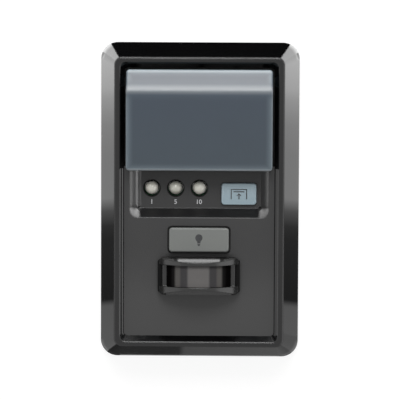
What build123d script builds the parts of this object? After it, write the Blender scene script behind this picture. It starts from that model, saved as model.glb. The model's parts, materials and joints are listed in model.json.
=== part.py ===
from build123d import *
import os
from math import radians, sqrt, tan

os.makedirs("parts", exist_ok=True)

# A wired wall control for a garage door. X runs to the right, Z up and Y back into the wall.
# The wall is the plane Y = 0 and the origin is the middle of the back. A depth is a distance
# forward of the wall, so the face is made of sketches on planes parallel to the wall.

# Face and moulded frame
face_width = 78.0
face_height = 124.0
face_corner = 6.6
rim_depth = 2.5
bevel_side_run = 6.1
bevel_end_run = 5.7
crest_depth = 17.5
crest_corner = 3.1
crest_side_band = 2.1
crest_end_band = 1.7
crest_inner_corner = 2.2
crest_round = 0.6
panel_depth = 15.0
panel_side_inset = 9.75
panel_end_inset = 9.65
panel_corner = 1.5
shell_wall = 2.0
overrun = 1.0

# Sunken floor: the open tray with the lamps and the full-width recess under the push bar
floor_depth = 11.0
floor_wall = 1.6
recess_low = 14.0
tray_width = 54.4
tray_low = -6.2
tray_corner = 2.8
tray_rim_round = 0.5
tray_floor_width = 47.9
tray_floor_low = -2.5
tray_floor_corner = 1.6
tray_top = 22.0
hinge_well_low = 45.5
hinge_well_depth = 9.8

# Circuit board
board_front = 5.4
board_thickness = 1.6
board_width = 46.0
board_low = -37.0
board_high = 36.0
board_corner = 1.5

# Back plate and the screws that hold the unit to a single-gang box
plate_thickness = 2.0
plate_gap = 0.2
plate_corner = 4.4
box_screw_spacing = 83.3
wall_screw_radius = 2.2
wall_boss_radius = 4.4
keyhole_entry_radius = 4.5
keyhole_slot_radius = 2.2
keyhole_slot_rise = 6.5
terminal_opening_width = 26.0
terminal_opening_height = 11.5
terminal_z = -9.0
terminal_spread = 14.0

# Push bar
bar_width = 56.8
bar_top = 51.5
bar_low = 12.5
bar_crease = 43.4
bar_top_depth = 17.5
bar_front_depth = 21.0
bar_back_depth = 16.4
bar_wall = 1.8
bar_side_wall = 1.6
bar_corner = 1.3
bar_edge_round = 0.7
bar_crease_round = 3.0
axis_z = 47.0
axis_depth = 15.2
pin_radius = 0.9
pin_fit = 0.08
pin_reach = 2.0
lug_radius = 2.2
press_angle = 1.5
contact_gap = 0.1
rib_width = 9.0
rib_thickness = 1.6

# Ears of the housing that carry the bar's pins
ear_thickness = 1.4
ear_gap = 0.3
ear_radius = 1.9
ear_foot_high = 2.2
ear_foot_low = 6.0

# Timer lamps
lamp_pitch = 9.3
lamp_right_x = 0.0
lamp_z = 5.4
lamp_radius = 2.5
lamp_length = 8.6
lamp_flange_radius = 2.9
lamp_flange_thickness = 1.0
lamp_hole_radius = 3.08
lamp_hole_drop = 0.3
lamp_hole_bevel = 0.4
lead_width = 0.5
lead_pitch = 2.54
lead_tail = 1.2
lead_hole_radius = 0.45

# Keys
key_gap = 0.25
key_lip = 1.0
key_lip_thickness = 0.8
key_lip_gap = 0.15
key_travel = 0.4
key_edge_round = 0.35
light_key_width = 23.3
light_key_height = 9.5
light_key_corner = 1.3
light_key_proud = 2.0
light_key_z = -14.68
light_key_gap = 0.65
hold_key_width = 13.6
hold_key_height = 8.4
hold_key_corner = 1.2
hold_key_proud = 1.2
hold_key_x = 15.45
hold_key_z = 3.0
service_key_width = 9.0
service_key_height = 5.5
service_key_corner = 1.0
service_key_proud = 0.9
service_key_x = 15.0
service_key_z = 31.0
learn_key_radius = 2.4
learn_key_z = 22.0
stem_radius = 1.3

# Tactile switches: the low ones under the floor keys, the tall ones elsewhere
low_case_size = 4.6
low_case_height = 1.6
tall_case_size = 6.0
tall_case_height = 3.5
plunger_radius = 1.7
low_plunger_radius = 1.1
plunger_fit = 0.08
plunger_sink = 0.6
plunger_base_room = 0.1
low_plunger_proud = 0.9
tall_plunger_proud = 1.5
main_plunger_proud = 1.2
main_switch_z = 24.0
main_hole_gap = 0.4

# Motion sensor
window_top = -24.15
window_bottom = -32.6
window_half_width = 12.35
post_width = 1.7
post_reach = 3.4
brow_height = 2.75
sill_height = 3.55
hood_shoulder = 1.35
hood_reach = 10.3
hood_top_drop = 1.5
hood_bottom_rise = 2.5
bezel_ledge = 0.6
bezel_base = 2.0
bezel_chamfer_x = 2.0
bezel_chamfer_z = 1.5
bezel_edge_round = 0.3
lens_set_back = 1.0
lens_wall = 0.8
lens_gap = 0.12
lens_flange = 1.6
lens_flange_thickness = 0.8
peg_radius = 0.7
peg_ledge = 0.23
peg_fit = 0.06
peg_tail = 0.6
sensor_z = -28.6
can_radius = 4.15
can_height = 4.2
can_wall = 0.3
can_brim_radius = 4.7
can_brim_thickness = 0.5
can_window = 3.6
filter_size = 4.6
filter_thickness = 0.5
header_thickness = 1.0
header_ring_radius = 2.54
header_lead_radius = 0.23

# Small electronics on the board
chip_lift = 0.15
chip_thickness = 2.3
chip_lead_pitch = 1.27
chip_lead_width = 0.42
chip_lead_reach = 1.4
chip_lead_thickness = 0.25
controller_length = 12.8
controller_breadth = 7.4
controller_x = 0.0
controller_z = 14.3
amplifier_length = 4.9
amplifier_breadth = 3.9
amplifier_x = 14.5
amplifier_z = -25.5
crystal_length = 11.0
crystal_breadth = 4.4
crystal_height = 3.4
crystal_corner = 1.95
crystal_brim = 0.5
crystal_x = -13.0
crystal_z = 11.2
capacitor_radius = 3.15
capacitor_height = 6.8
capacitor_groove = 0.3
capacitor_x = 18.2
capacitor_z = -15.5
diode_length = 4.3
diode_breadth = 2.6
diode_height = 2.1
diode_draft_angle = 5.0
diode_pitch_x = 6.0
diode_pitch_z = 4.4
diode_x = -15.2
diode_z = -25.5
regulator_width = 6.4
regulator_breadth = 3.4
regulator_tab_width = 3.2
regulator_tab_length = 6.8
regulator_height = 1.7
regulator_x = 14.5
regulator_z = 13.0
key_lamp_width = 1.6
key_lamp_length = 3.2
key_lamp_height = 1.3
key_lamp_spread = 10.4

# Fasteners and wire terminals
plate_screw_x = 27.0
plate_screw_high = 40.0
plate_screw_low = -44.0
plate_screw_radius = 1.1
plate_screw_length = 7.0
plate_head_radius = 2.1
plate_head_height = 1.2
board_screw_x = 20.0
board_screw_high = 16.0
board_screw_low = -33.0
board_screw_radius = 0.9
board_screw_length = 4.4
board_head_radius = 1.8
board_head_height = 1.2
boss_radius = 2.5
screw_fit = 0.05
screw_end_room = 0.5
head_gap = 0.15
slot_share = 0.16
slot_depth = 0.6
terminal_plate_size = 7.0
terminal_plate_thickness = 0.8
terminal_post_radius = 1.9
terminal_post_height = 2.0
terminal_screw_radius = 1.5
terminal_head_radius = 2.9
terminal_head_height = 1.6

# Sizes that follow from those above
crest_width = face_width - 2 * bevel_side_run
crest_height = face_height - 2 * bevel_end_run
well_width = crest_width - 2 * crest_side_band
well_height = crest_height - 2 * crest_end_band
panel_width = face_width - 2 * panel_side_inset
panel_height = face_height - 2 * panel_end_inset
panel_back = panel_depth - shell_wall
floor_back = floor_depth - floor_wall
board_back = board_front - board_thickness
pan_low = tray_low - floor_wall / 2
pan_high = panel_height / 2 + floor_wall
bar_half = bar_width / 2
bar_slope = (bar_front_depth - bar_top_depth) / (bar_top - bar_crease)
slope_wall = bar_wall * sqrt(1 + bar_slope**2)
wall_screw_z = box_screw_spacing / 2
lamp_names = ("timer_led_10", "timer_led_5", "timer_led_1")
lamp_places = {name: lamp_right_x - step * lamp_pitch for step, name in enumerate(lamp_names)}
hood_half_width = window_half_width + post_width + hood_shoulder
bezel_width = 2 * (hood_half_width + bezel_ledge)
bezel_top = window_top + brow_height
bezel_bottom = window_bottom - sill_height
window_z = (window_top + window_bottom) / 2
window_height = window_top - window_bottom
peg_x = window_half_width + lens_flange + lens_gap + peg_radius + peg_ledge


def front_plane(depth):
    """A sketch plane parallel to the wall at this depth, with X right and Z up."""
    return Plane.XZ.offset(depth)


def slab(width, height, back, front, x=0, z=0, corner=0, mode=Mode.ADD):
    """A plate parallel to the wall between two depths, with its corners rounded if asked."""
    with BuildSketch(front_plane(back)) as outline:
        with Locations((x, z)):
            if corner > 0:
                RectangleRounded(width, height, corner)
            else:
                Rectangle(width, height)
    extrude(outline.sketch, amount=front - back, mode=mode)


def disc(radius, back, front, x=0, z=0, mode=Mode.ADD):
    """A round post or bore that points out of the wall, between two depths."""
    with BuildSketch(front_plane(back)) as outline:
        with Locations((x, z)):
            Circle(radius)
    extrude(outline.sketch, amount=front - back, mode=mode)


# Sketch plane on the wall side, looking into the wall, with Z still up
back_plane = Plane(origin=(0, 0, 0), x_dir=(-1, 0, 0), z_dir=(0, 1, 0))


def finish(piece, name):
    """Label a finished piece and write it to its own file."""
    piece.part.label = name
    export_step(piece.part, f"parts/{name}.step")


def bevel_inset(run, depth):
    """How far the outer bevel has come in from the rim at this depth."""
    return run * (depth - rim_depth) / (crest_depth - rim_depth)


# Front housing: frame, panel, tray, recess, bosses and the ears of the push bar
with BuildPart() as front_housing:
    # Rim and outer bevel up to the crest
    slab(face_width, face_height, 0, rim_depth, corner=face_corner)
    with BuildSketch(front_plane(rim_depth)):
        RectangleRounded(face_width, face_height, face_corner)
    with BuildSketch(front_plane(crest_depth)):
        RectangleRounded(crest_width, crest_height, crest_corner)
    loft()
    # Inner step down from the crest to the panel
    with BuildSketch(front_plane(panel_depth)):
        RectangleRounded(panel_width, panel_height, panel_corner)
    with BuildSketch(front_plane(crest_depth)):
        RectangleRounded(well_width, well_height, crest_inner_corner)
    loft(mode=Mode.SUBTRACT)
    crest_face = faces().filter_by(Plane.XZ).sort_by(Axis.Y)[0]
    fillet(crest_face.edges(), crest_round)
    # Hollow behind the panel, a wall inside the rim and the bevel
    slab(
        face_width - 2 * shell_wall,
        face_height - 2 * shell_wall,
        0,
        rim_depth,
        corner=face_corner - shell_wall,
        mode=Mode.SUBTRACT,
    )
    with BuildSketch(front_plane(rim_depth)):
        RectangleRounded(
            face_width - 2 * shell_wall,
            face_height - 2 * shell_wall,
            face_corner - shell_wall,
        )
    with BuildSketch(front_plane(panel_back)):
        RectangleRounded(
            face_width - 2 * shell_wall - 2 * bevel_inset(bevel_side_run, panel_back),
            face_height - 2 * shell_wall - 2 * bevel_inset(bevel_end_run, panel_back),
            crest_corner,
        )
    loft(mode=Mode.SUBTRACT)
    # Pan that holds the tray and the recess, deeper behind the hinge
    slab(
        panel_width + 2 * floor_wall,
        pan_high - pan_low,
        floor_back,
        panel_back,
        z=(pan_high + pan_low) / 2,
    )
    slab(
        panel_width + 2 * floor_wall,
        pan_high - hinge_well_low + floor_wall,
        floor_back - (floor_depth - hinge_well_depth),
        floor_back,
        z=(pan_high + hinge_well_low - floor_wall) / 2,
    )
    slab(
        panel_width,
        panel_height / 2 - recess_low,
        floor_depth,
        panel_depth,
        z=(panel_height / 2 + recess_low) / 2,
        mode=Mode.SUBTRACT,
    )
    slab(
        panel_width,
        panel_height / 2 - hinge_well_low,
        hinge_well_depth,
        floor_depth,
        z=(panel_height / 2 + hinge_well_low) / 2,
        mode=Mode.SUBTRACT,
    )
    # Tray with sloped sides, open into the recess at its top
    with BuildSketch(front_plane(floor_depth)):
        with Locations((0, (tray_top + tray_floor_low) / 2)):
            RectangleRounded(tray_floor_width, tray_top - tray_floor_low, tray_floor_corner)
    with BuildSketch(front_plane(panel_depth)):
        with Locations((0, (tray_top + tray_low) / 2)):
            RectangleRounded(tray_width, tray_top - tray_low, tray_corner)
    loft(mode=Mode.SUBTRACT)
    tray_rim = (
        edges()
        .filter_by_position(Axis.Y, -panel_depth - pin_fit, -panel_depth + pin_fit)
        .filter_by_position(Axis.X, -tray_width / 2 - pin_fit, tray_width / 2 + pin_fit)
        .filter_by_position(Axis.Z, tray_low - pin_fit, recess_low)
    )
    fillet(tray_rim, tray_rim_round)
    # Bosses for the plate screws, the board screws and the upper wall screw
    floor_middle = floor_depth - floor_wall / 2
    panel_middle = panel_depth - shell_wall / 2
    plate_screw_end = plate_head_height + head_gap + plate_screw_length + screw_end_room
    board_screw_end = board_back + board_screw_length + screw_end_room
    for side in (-1, 1):
        plate_boss_x = side * plate_screw_x
        board_boss_x = side * board_screw_x
        disc(boss_radius, plate_thickness, floor_middle, plate_boss_x, plate_screw_high)
        disc(boss_radius, plate_thickness, panel_middle, plate_boss_x, plate_screw_low)
        disc(boss_radius, board_front, floor_middle, board_boss_x, board_screw_high)
        disc(boss_radius, board_front, panel_middle, board_boss_x, board_screw_low)
        for height in (plate_screw_high, plate_screw_low):
            disc(
                plate_screw_radius + screw_fit,
                plate_thickness,
                plate_screw_end,
                plate_boss_x,
                height,
                mode=Mode.SUBTRACT,
            )
        for height in (board_screw_high, board_screw_low):
            disc(
                board_screw_radius + screw_fit,
                board_front,
                board_screw_end,
                board_boss_x,
                height,
                mode=Mode.SUBTRACT,
            )
    disc(wall_boss_radius, plate_thickness, floor_middle, z=wall_screw_z)
    disc(wall_screw_radius, plate_thickness, floor_depth, z=wall_screw_z, mode=Mode.SUBTRACT)
    # Ears for the bar's pins, leaning down and back so that the lifted bar clears them
    for side in (-1, 1):
        ear_outer = bar_half - bar_side_wall - ear_gap
        ear_plane = Plane.YZ.offset(side * (ear_outer - ear_thickness / 2))
        with BuildSketch(ear_plane) as ear:
            with BuildLine():
                Polyline(
                    (-axis_depth, axis_z + ear_radius / 2),
                    (-floor_middle, axis_z - ear_foot_high),
                    (-floor_middle, axis_z - ear_foot_low),
                    (-axis_depth, axis_z - ear_radius),
                    close=True,
                )
            make_face()
            with Locations((-axis_depth, axis_z)):
                Circle(ear_radius)
                Circle(pin_radius + pin_fit, mode=Mode.SUBTRACT)
        extrude(ear.sketch, amount=ear_thickness / 2, both=True)
    # Openings for the lamps, the keys, the main switch and the sensor
    for lamp_x in lamp_places.values():
        disc(
            lamp_hole_radius,
            floor_back,
            floor_depth,
            lamp_x,
            lamp_z - lamp_hole_drop,
            mode=Mode.SUBTRACT,
        )
    lamp_rims = (
        edges()
        .filter_by(GeomType.CIRCLE)
        .filter_by(lambda edge: abs(edge.radius - lamp_hole_radius) < pin_fit)
        .filter_by_position(Axis.Y, -floor_depth - pin_fit, -floor_depth + pin_fit)
    )
    chamfer(lamp_rims, lamp_hole_bevel)
    slab(
        hold_key_width + 2 * key_gap,
        hold_key_height + 2 * key_gap,
        floor_back,
        floor_depth,
        hold_key_x,
        hold_key_z,
        corner=hold_key_corner + key_gap,
        mode=Mode.SUBTRACT,
    )
    for side in (-1, 1):
        slab(
            service_key_width + 2 * key_gap,
            service_key_height + 2 * key_gap,
            floor_back,
            floor_depth,
            side * service_key_x,
            service_key_z,
            corner=service_key_corner + key_gap,
            mode=Mode.SUBTRACT,
        )
    disc(
        learn_key_radius + key_gap,
        floor_back,
        floor_depth,
        service_key_x,
        learn_key_z,
        mode=Mode.SUBTRACT,
    )
    disc(
        plunger_radius + main_hole_gap,
        floor_back,
        floor_depth,
        z=main_switch_z,
        mode=Mode.SUBTRACT,
    )
    slab(
        light_key_width + 2 * light_key_gap,
        light_key_height + 2 * light_key_gap,
        panel_back,
        panel_depth,
        z=light_key_z,
        corner=light_key_corner + light_key_gap / 2,
        mode=Mode.SUBTRACT,
    )
    slab(
        2 * window_half_width - 2 * lens_flange,
        window_height - lens_wall,
        panel_back,
        panel_depth,
        z=window_z,
        mode=Mode.SUBTRACT,
    )
    for side in (-1, 1):
        disc(
            peg_radius + peg_fit,
            panel_back,
            panel_depth,
            side * peg_x,
            window_z,
            mode=Mode.SUBTRACT,
        )
finish(front_housing, "front_housing")

# Back plate: lies against the wall, with the keyhole, the screw hole and the wire opening
with BuildPart() as back_plate:
    slab(
        face_width - 2 * shell_wall - 2 * plate_gap,
        face_height - 2 * shell_wall - 2 * plate_gap,
        0,
        plate_thickness,
        corner=plate_corner,
    )
    disc(wall_screw_radius, 0, plate_thickness, z=wall_screw_z, mode=Mode.SUBTRACT)
    disc(
        keyhole_entry_radius,
        0,
        plate_thickness,
        z=-wall_screw_z - keyhole_slot_rise,
        mode=Mode.SUBTRACT,
    )
    with BuildSketch(front_plane(0)) as slot:
        with Locations((0, -wall_screw_z - keyhole_slot_rise / 2)):
            SlotOverall(
                keyhole_slot_rise + 2 * keyhole_slot_radius,
                2 * keyhole_slot_radius,
                rotation=90,
            )
    extrude(slot.sketch, amount=plate_thickness, mode=Mode.SUBTRACT)
    slab(
        terminal_opening_width,
        terminal_opening_height,
        0,
        plate_thickness,
        z=terminal_z,
        corner=board_corner,
        mode=Mode.SUBTRACT,
    )
    with Locations(back_plane):
        with Locations(
            (-plate_screw_x, plate_screw_high),
            (plate_screw_x, plate_screw_high),
            (-plate_screw_x, plate_screw_low),
            (plate_screw_x, plate_screw_low),
        ):
            CounterBoreHole(
                plate_screw_radius + screw_fit,
                plate_head_radius + head_gap,
                plate_head_height + head_gap,
                plate_thickness,
            )
    chamfer(faces().sort_by(Axis.Y)[0].outer_wire().edges(), plate_gap)
finish(back_plate, "back_plate")


# Push bar: one hollow flap, bent at the crease, hung on two pins at its top
with BuildPart() as push_bar:
    with BuildSketch(Plane.YZ) as side_view:
        with BuildLine():
            Polyline(
                (-bar_back_depth, bar_low),
                (-bar_front_depth, bar_low),
                (-bar_front_depth, bar_crease),
                (-bar_top_depth, bar_top),
                (-bar_back_depth, bar_top),
                close=True,
            )
        make_face()
    extrude(side_view.sketch, amount=bar_half, both=True)
    crease = edges().filter_by(Axis.X).filter_by_position(
        Axis.Z, bar_crease - pin_fit, bar_crease + pin_fit
    )
    fillet(crease, bar_crease_round)
    fillet(edges().filter_by(Axis.Y), bar_corner)
    front_rim = edges().filter_by_position(
        Axis.Y, -bar_front_depth - pin_fit, -bar_top_depth + pin_fit
    ) - edges().filter_by(Axis.X).filter_by_position(
        Axis.Z, bar_low + bar_wall, bar_top - bar_wall
    )
    fillet(front_rim, bar_edge_round)
    # Hollow inside, a wall behind the front and inside each end
    with BuildSketch(Plane.YZ) as inside_view:
        with BuildLine():
            Polyline(
                (-bar_back_depth + overrun, bar_low + bar_side_wall),
                (-bar_front_depth + bar_wall, bar_low + bar_side_wall),
                (-bar_front_depth + bar_wall, bar_crease + (bar_wall - slope_wall) / bar_slope),
                (-bar_top_depth - bar_side_wall * bar_slope + slope_wall, bar_top - bar_side_wall),
                (-bar_back_depth + overrun, bar_top - bar_side_wall),
                close=True,
            )
        make_face()
    extrude(inside_view.sketch, amount=bar_half - bar_side_wall, both=True, mode=Mode.SUBTRACT)
    # Lugs behind the side walls, with the pins pointing inwards
    for side in (-1, 1):
        lug_plane = Plane.YZ.offset(side * (bar_half - bar_side_wall / 2))
        with BuildSketch(lug_plane) as lug:
            with Locations((-axis_depth, axis_z)):
                Circle(lug_radius)
            with Locations((-(axis_depth + bar_back_depth) / 2 - overrun / 2, axis_z)):
                Rectangle(bar_back_depth - axis_depth + overrun, 2 * lug_radius)
        extrude(lug.sketch, amount=bar_side_wall / 2, both=True)
        pin_plane = Plane.YZ.offset(side * (bar_half - bar_side_wall))
        with BuildSketch(pin_plane) as pin:
            with Locations((-axis_depth, axis_z)):
                Circle(pin_radius)
        extrude(pin.sketch, amount=-side * pin_reach)
    # Rib that meets the main switch when the bar is pressed
    plunger_tip = floor_depth + main_plunger_proud
    rib_tip = plunger_tip + contact_gap + (axis_z - main_switch_z) * tan(radians(press_angle))
    slab(rib_width, rib_thickness, rib_tip, bar_front_depth - bar_wall / 2, z=main_switch_z)
    slab(rib_thickness, rib_width, rib_tip, bar_front_depth - bar_wall / 2, z=main_switch_z)
finish(push_bar, "push_bar")


# Sensor bezel: the front, top and side outlines of the hood, one cut by the next
hood_depth = panel_depth + hood_reach
hood_start = panel_depth + bezel_base
hood_rise = hood_depth - hood_start
hood_radius = (hood_half_width**2 + hood_rise**2) / (2 * hood_rise)
hood_centre = hood_depth - hood_radius
lens_radius = hood_radius - lens_set_back


def arc_depth(radius, x):
    """Depth of the hood's or the lens's arc at this distance from the middle."""
    return hood_centre + sqrt(radius**2 - x**2)


with BuildPart() as sensor_bezel:
    with BuildSketch(Plane.XY.offset(bezel_bottom)) as top_view:
        with BuildLine():
            Polyline(
                (-hood_half_width, -hood_start),
                (-bezel_width / 2, -hood_start),
                (-bezel_width / 2, -panel_depth),
                (bezel_width / 2, -panel_depth),
                (bezel_width / 2, -hood_start),
                (hood_half_width, -hood_start),
            )
            ThreePointArc(
                (hood_half_width, -hood_start),
                (0, -hood_depth),
                (-hood_half_width, -hood_start),
            )
        make_face()
    extrude(top_view.sketch, amount=bezel_top - bezel_bottom)
    with BuildSketch(Plane.YZ) as hood_side_view:
        with BuildLine():
            Polyline(
                (-panel_depth, bezel_bottom),
                (-panel_depth, bezel_top),
                (-hood_start, bezel_top),
                (-hood_depth, bezel_top - hood_top_drop),
                (-hood_depth, bezel_bottom + hood_bottom_rise),
                (-hood_start, bezel_bottom),
                close=True,
            )
        make_face()
    extrude(hood_side_view.sketch, amount=bezel_width, both=True, mode=Mode.INTERSECT)
    with BuildSketch(front_plane(panel_depth)) as front_view:
        with BuildLine():
            half = bezel_width / 2
            Polyline(
                (-half, bezel_bottom + bezel_chamfer_z),
                (-half, bezel_top - bezel_chamfer_z),
                (-half + bezel_chamfer_x, bezel_top),
                (half - bezel_chamfer_x, bezel_top),
                (half, bezel_top - bezel_chamfer_z),
                (half, bezel_bottom + bezel_chamfer_z),
                (half - bezel_chamfer_x, bezel_bottom),
                (-half + bezel_chamfer_x, bezel_bottom),
                close=True,
            )
        make_face()
    extrude(front_view.sketch, amount=hood_reach, mode=Mode.INTERSECT)
    proud_edges = edges().filter_by_position(Axis.Y, -hood_depth, -panel_depth - bezel_edge_round)
    fillet(proud_edges, bezel_edge_round)
    # Space between the two brows, past the posts, and the window for the lens
    for side in (-1, 1):
        side_width = bezel_width / 2 - window_half_width - post_width
        slab(
            side_width + overrun,
            window_height,
            hood_start,
            hood_depth,
            side * (window_half_width + post_width + (side_width + overrun) / 2),
            window_z,
            mode=Mode.SUBTRACT,
        )
    slab(
        2 * (window_half_width + post_width),
        window_height,
        panel_depth + post_reach,
        hood_depth,
        z=window_z,
        mode=Mode.SUBTRACT,
    )
    slab(
        2 * window_half_width,
        window_height,
        panel_depth,
        hood_depth,
        z=window_z,
        mode=Mode.SUBTRACT,
    )
    # Pocket for the lens's flange, and the two pegs that fix the bezel to the panel
    slab(
        2 * (window_half_width + lens_flange + lens_gap),
        window_height + 2 * (lens_flange + lens_gap),
        panel_depth,
        panel_depth + lens_flange_thickness + lens_gap,
        z=window_z,
        mode=Mode.SUBTRACT,
    )
    for side in (-1, 1):
        disc(peg_radius, panel_back - peg_tail, panel_depth + peg_radius, side * peg_x, window_z)
finish(sensor_bezel, "sensor_bezel")


# Sensor lens: a thin curved window with straight cheeks and a flange behind the bezel
with BuildPart() as sensor_lens:
    lens_half = window_half_width - lens_gap
    lens_height = window_height - 2 * lens_gap
    with BuildSketch(Plane.XY.offset(window_z - lens_height / 2)) as lens_view:
        with BuildLine():
            ThreePointArc(
                (-lens_half, -arc_depth(lens_radius, lens_half)),
                (0, -hood_centre - lens_radius),
                (lens_half, -arc_depth(lens_radius, lens_half)),
            )
            Polyline(
                (lens_half, -arc_depth(lens_radius, lens_half)),
                (lens_half, -panel_depth),
                (lens_half - lens_wall, -panel_depth),
                (lens_half - lens_wall, -arc_depth(lens_radius - lens_wall, lens_half - lens_wall)),
            )
            ThreePointArc(
                (lens_half - lens_wall, -arc_depth(lens_radius - lens_wall, lens_half - lens_wall)),
                (0, -hood_centre - lens_radius + lens_wall),
                (lens_wall - lens_half, -arc_depth(lens_radius - lens_wall, lens_half - lens_wall)),
            )
            Polyline(
                (lens_wall - lens_half, -arc_depth(lens_radius - lens_wall, lens_half - lens_wall)),
                (lens_wall - lens_half, -panel_depth),
                (-lens_half, -panel_depth),
                (-lens_half, -arc_depth(lens_radius, lens_half)),
            )
        make_face()
    extrude(lens_view.sketch, amount=lens_height)
    slab(
        2 * (window_half_width + lens_flange),
        window_height + 2 * lens_flange,
        panel_depth,
        panel_depth + lens_flange_thickness,
        z=window_z,
    )
    slab(
        2 * (lens_half - lens_wall),
        lens_height - 2 * lens_wall,
        panel_depth,
        panel_depth + lens_flange_thickness,
        z=window_z,
        mode=Mode.SUBTRACT,
    )
finish(sensor_lens, "sensor_lens")


# Heat detector behind the lens: header with three leads, metal can and its dark filter
can_back = board_front + can_brim_thickness
with BuildPart() as pir_header:
    disc(can_radius - can_wall, board_front, board_front + header_thickness, z=sensor_z)
    with BuildSketch(front_plane(board_back - lead_tail)) as leads:
        with Locations((0, sensor_z)):
            with PolarLocations(header_ring_radius, 3, -90, 180, endpoint=True):
                Circle(header_lead_radius)
    extrude(leads.sketch, amount=board_thickness + lead_tail + header_thickness / 2)
finish(pir_header, "pir_header")

with BuildPart() as pir_can:
    disc(can_brim_radius, board_front, can_back, z=sensor_z)
    disc(can_radius, can_back, board_front + can_height, z=sensor_z)
    top_edge = edges().filter_by(GeomType.CIRCLE).sort_by(Axis.Y)[0]
    fillet(top_edge, can_wall)
    disc(
        can_radius - can_wall,
        board_front,
        board_front + can_height - can_wall,
        z=sensor_z,
        mode=Mode.SUBTRACT,
    )
    slab(
        can_window,
        can_window,
        board_front + header_thickness,
        board_front + can_height,
        z=sensor_z,
        mode=Mode.SUBTRACT,
    )
finish(pir_can, "pir_can")

with BuildPart() as pir_filter:
    filter_front = board_front + can_height - can_wall
    slab(filter_size, filter_size, filter_front - filter_thickness, filter_front, z=sensor_z)
finish(pir_filter, "pir_filter")


# Circuit board with the holes for leads, screws and terminal posts
with BuildPart() as circuit_board:
    slab(
        board_width,
        board_high - board_low,
        board_back,
        board_front,
        z=(board_high + board_low) / 2,
        corner=board_corner,
    )
    with BuildSketch(front_plane(board_back)) as drillings:
        for lamp_x in lamp_places.values():
            with Locations((lamp_x, lamp_z)):
                with GridLocations(lead_pitch, 0, 2, 1):
                    Circle(lead_hole_radius)
        with Locations((0, sensor_z)):
            with PolarLocations(header_ring_radius, 3, -90, 180, endpoint=True):
                Circle(lead_hole_radius)
        with GridLocations(terminal_spread, 0, 2, 1):
            with Locations((0, terminal_z)):
                Circle(terminal_screw_radius + screw_fit)
        with GridLocations(2 * board_screw_x, 0, 2, 1):
            with Locations((0, board_screw_high), (0, board_screw_low)):
                Circle(board_screw_radius + head_gap)
    extrude(drillings.sketch, amount=board_thickness, mode=Mode.SUBTRACT)
finish(circuit_board, "circuit_board")


# Timer lamps: 5 mm domes with a flange, a body and two leads through the board
for name, lamp_x in lamp_places.items():
    with BuildPart() as timer_lamp:
        with BuildSketch(Plane.XY.offset(lamp_z)) as half_section:
            dome_start = board_front + lamp_length - lamp_radius
            flange_top = board_front + lamp_flange_thickness
            with BuildLine():
                Polyline(
                    (lamp_x, -board_front - lamp_length),
                    (lamp_x, -board_front),
                    (lamp_x + lamp_flange_radius, -board_front),
                    (lamp_x + lamp_flange_radius, -flange_top),
                    (lamp_x + lamp_radius, -flange_top),
                    (lamp_x + lamp_radius, -dome_start),
                )
                CenterArc((lamp_x, -dome_start), lamp_radius, 0, -90)
            make_face()
        revolve(half_section.sketch, axis=Axis((lamp_x, 0, lamp_z), (0, 1, 0)))
        with BuildSketch(front_plane(board_back - lead_tail)) as lamp_leads:
            with Locations((lamp_x, lamp_z)):
                with GridLocations(lead_pitch, 0, 2, 1):
                    Rectangle(lead_width, lead_width)
        extrude(lamp_leads.sketch, amount=board_thickness + lead_tail + lamp_flange_thickness / 2)
    finish(timer_lamp, name)


def tact_switch(name, x, z, tall, tip):
    """A tactile switch: a square case on the board and a plunger that slides in its bore."""
    size = tall_case_size if tall else low_case_size
    height = tall_case_height if tall else low_case_height
    radius = plunger_radius if tall else low_plunger_radius
    case_top = board_front + height
    plunger_foot = case_top - plunger_sink
    bore_foot = plunger_foot - key_travel - plunger_base_room
    with BuildPart() as case:
        slab(size, size, board_front, case_top, x, z)
        chamfer(edges().filter_by(Axis.Y), radius / 3)
        disc(radius + plunger_fit, bore_foot, case_top, x, z, mode=Mode.SUBTRACT)
    finish(case, f"{name}_switch_case")
    with BuildPart() as plunger:
        disc(radius, plunger_foot, tip, x, z)
        chamfer(edges().sort_by(Axis.Y)[0], plunger_fit)
    finish(plunger, f"{name}_switch_plunger")


def key_back(wall_back):
    """Depth of the rear face of a key's lip, behind the wall that it shows through."""
    return wall_back - key_lip_gap - key_lip_thickness


def plunger_reach(tall):
    """Depth of the tip of a key's switch plunger at rest."""
    if tall:
        return board_front + tall_case_height + tall_plunger_proud
    return board_front + low_case_height + low_plunger_proud


def add_lip_and_stem(width, height, x, z, wall_back, tall):
    """The lip that keeps a key behind its opening, and the stem that meets the plunger."""
    slab(
        width + 2 * key_lip,
        height + 2 * key_lip,
        key_back(wall_back),
        wall_back - key_lip_gap,
        x,
        z,
        corner=key_lip,
    )
    disc(stem_radius, plunger_reach(tall), key_back(wall_back) + key_lip_thickness / 2, x, z)


# Light key, in the panel
with BuildPart() as light_key:
    slab(
        light_key_width,
        light_key_height,
        panel_back - key_lip_gap,
        panel_depth + light_key_proud,
        z=light_key_z,
        corner=light_key_corner,
    )
    fillet(faces().sort_by(Axis.Y)[0].edges(), 2 * key_edge_round)
    add_lip_and_stem(light_key_width, light_key_height, 0, light_key_z, panel_back, True)
finish(light_key, "light_key")
tact_switch("light", 0, light_key_z, True, plunger_reach(True))

# Hold-open key, in the tray
with BuildPart() as hold_open_key:
    slab(
        hold_key_width,
        hold_key_height,
        floor_back - key_lip_gap,
        floor_depth + hold_key_proud,
        hold_key_x,
        hold_key_z,
        corner=hold_key_corner,
    )
    fillet(faces().sort_by(Axis.Y)[0].edges(), key_edge_round)
    add_lip_and_stem(hold_key_width, hold_key_height, hold_key_x, hold_key_z, floor_back, False)
finish(hold_open_key, "hold_open_key")
tact_switch("hold", hold_key_x, hold_key_z, False, plunger_reach(False))

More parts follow.
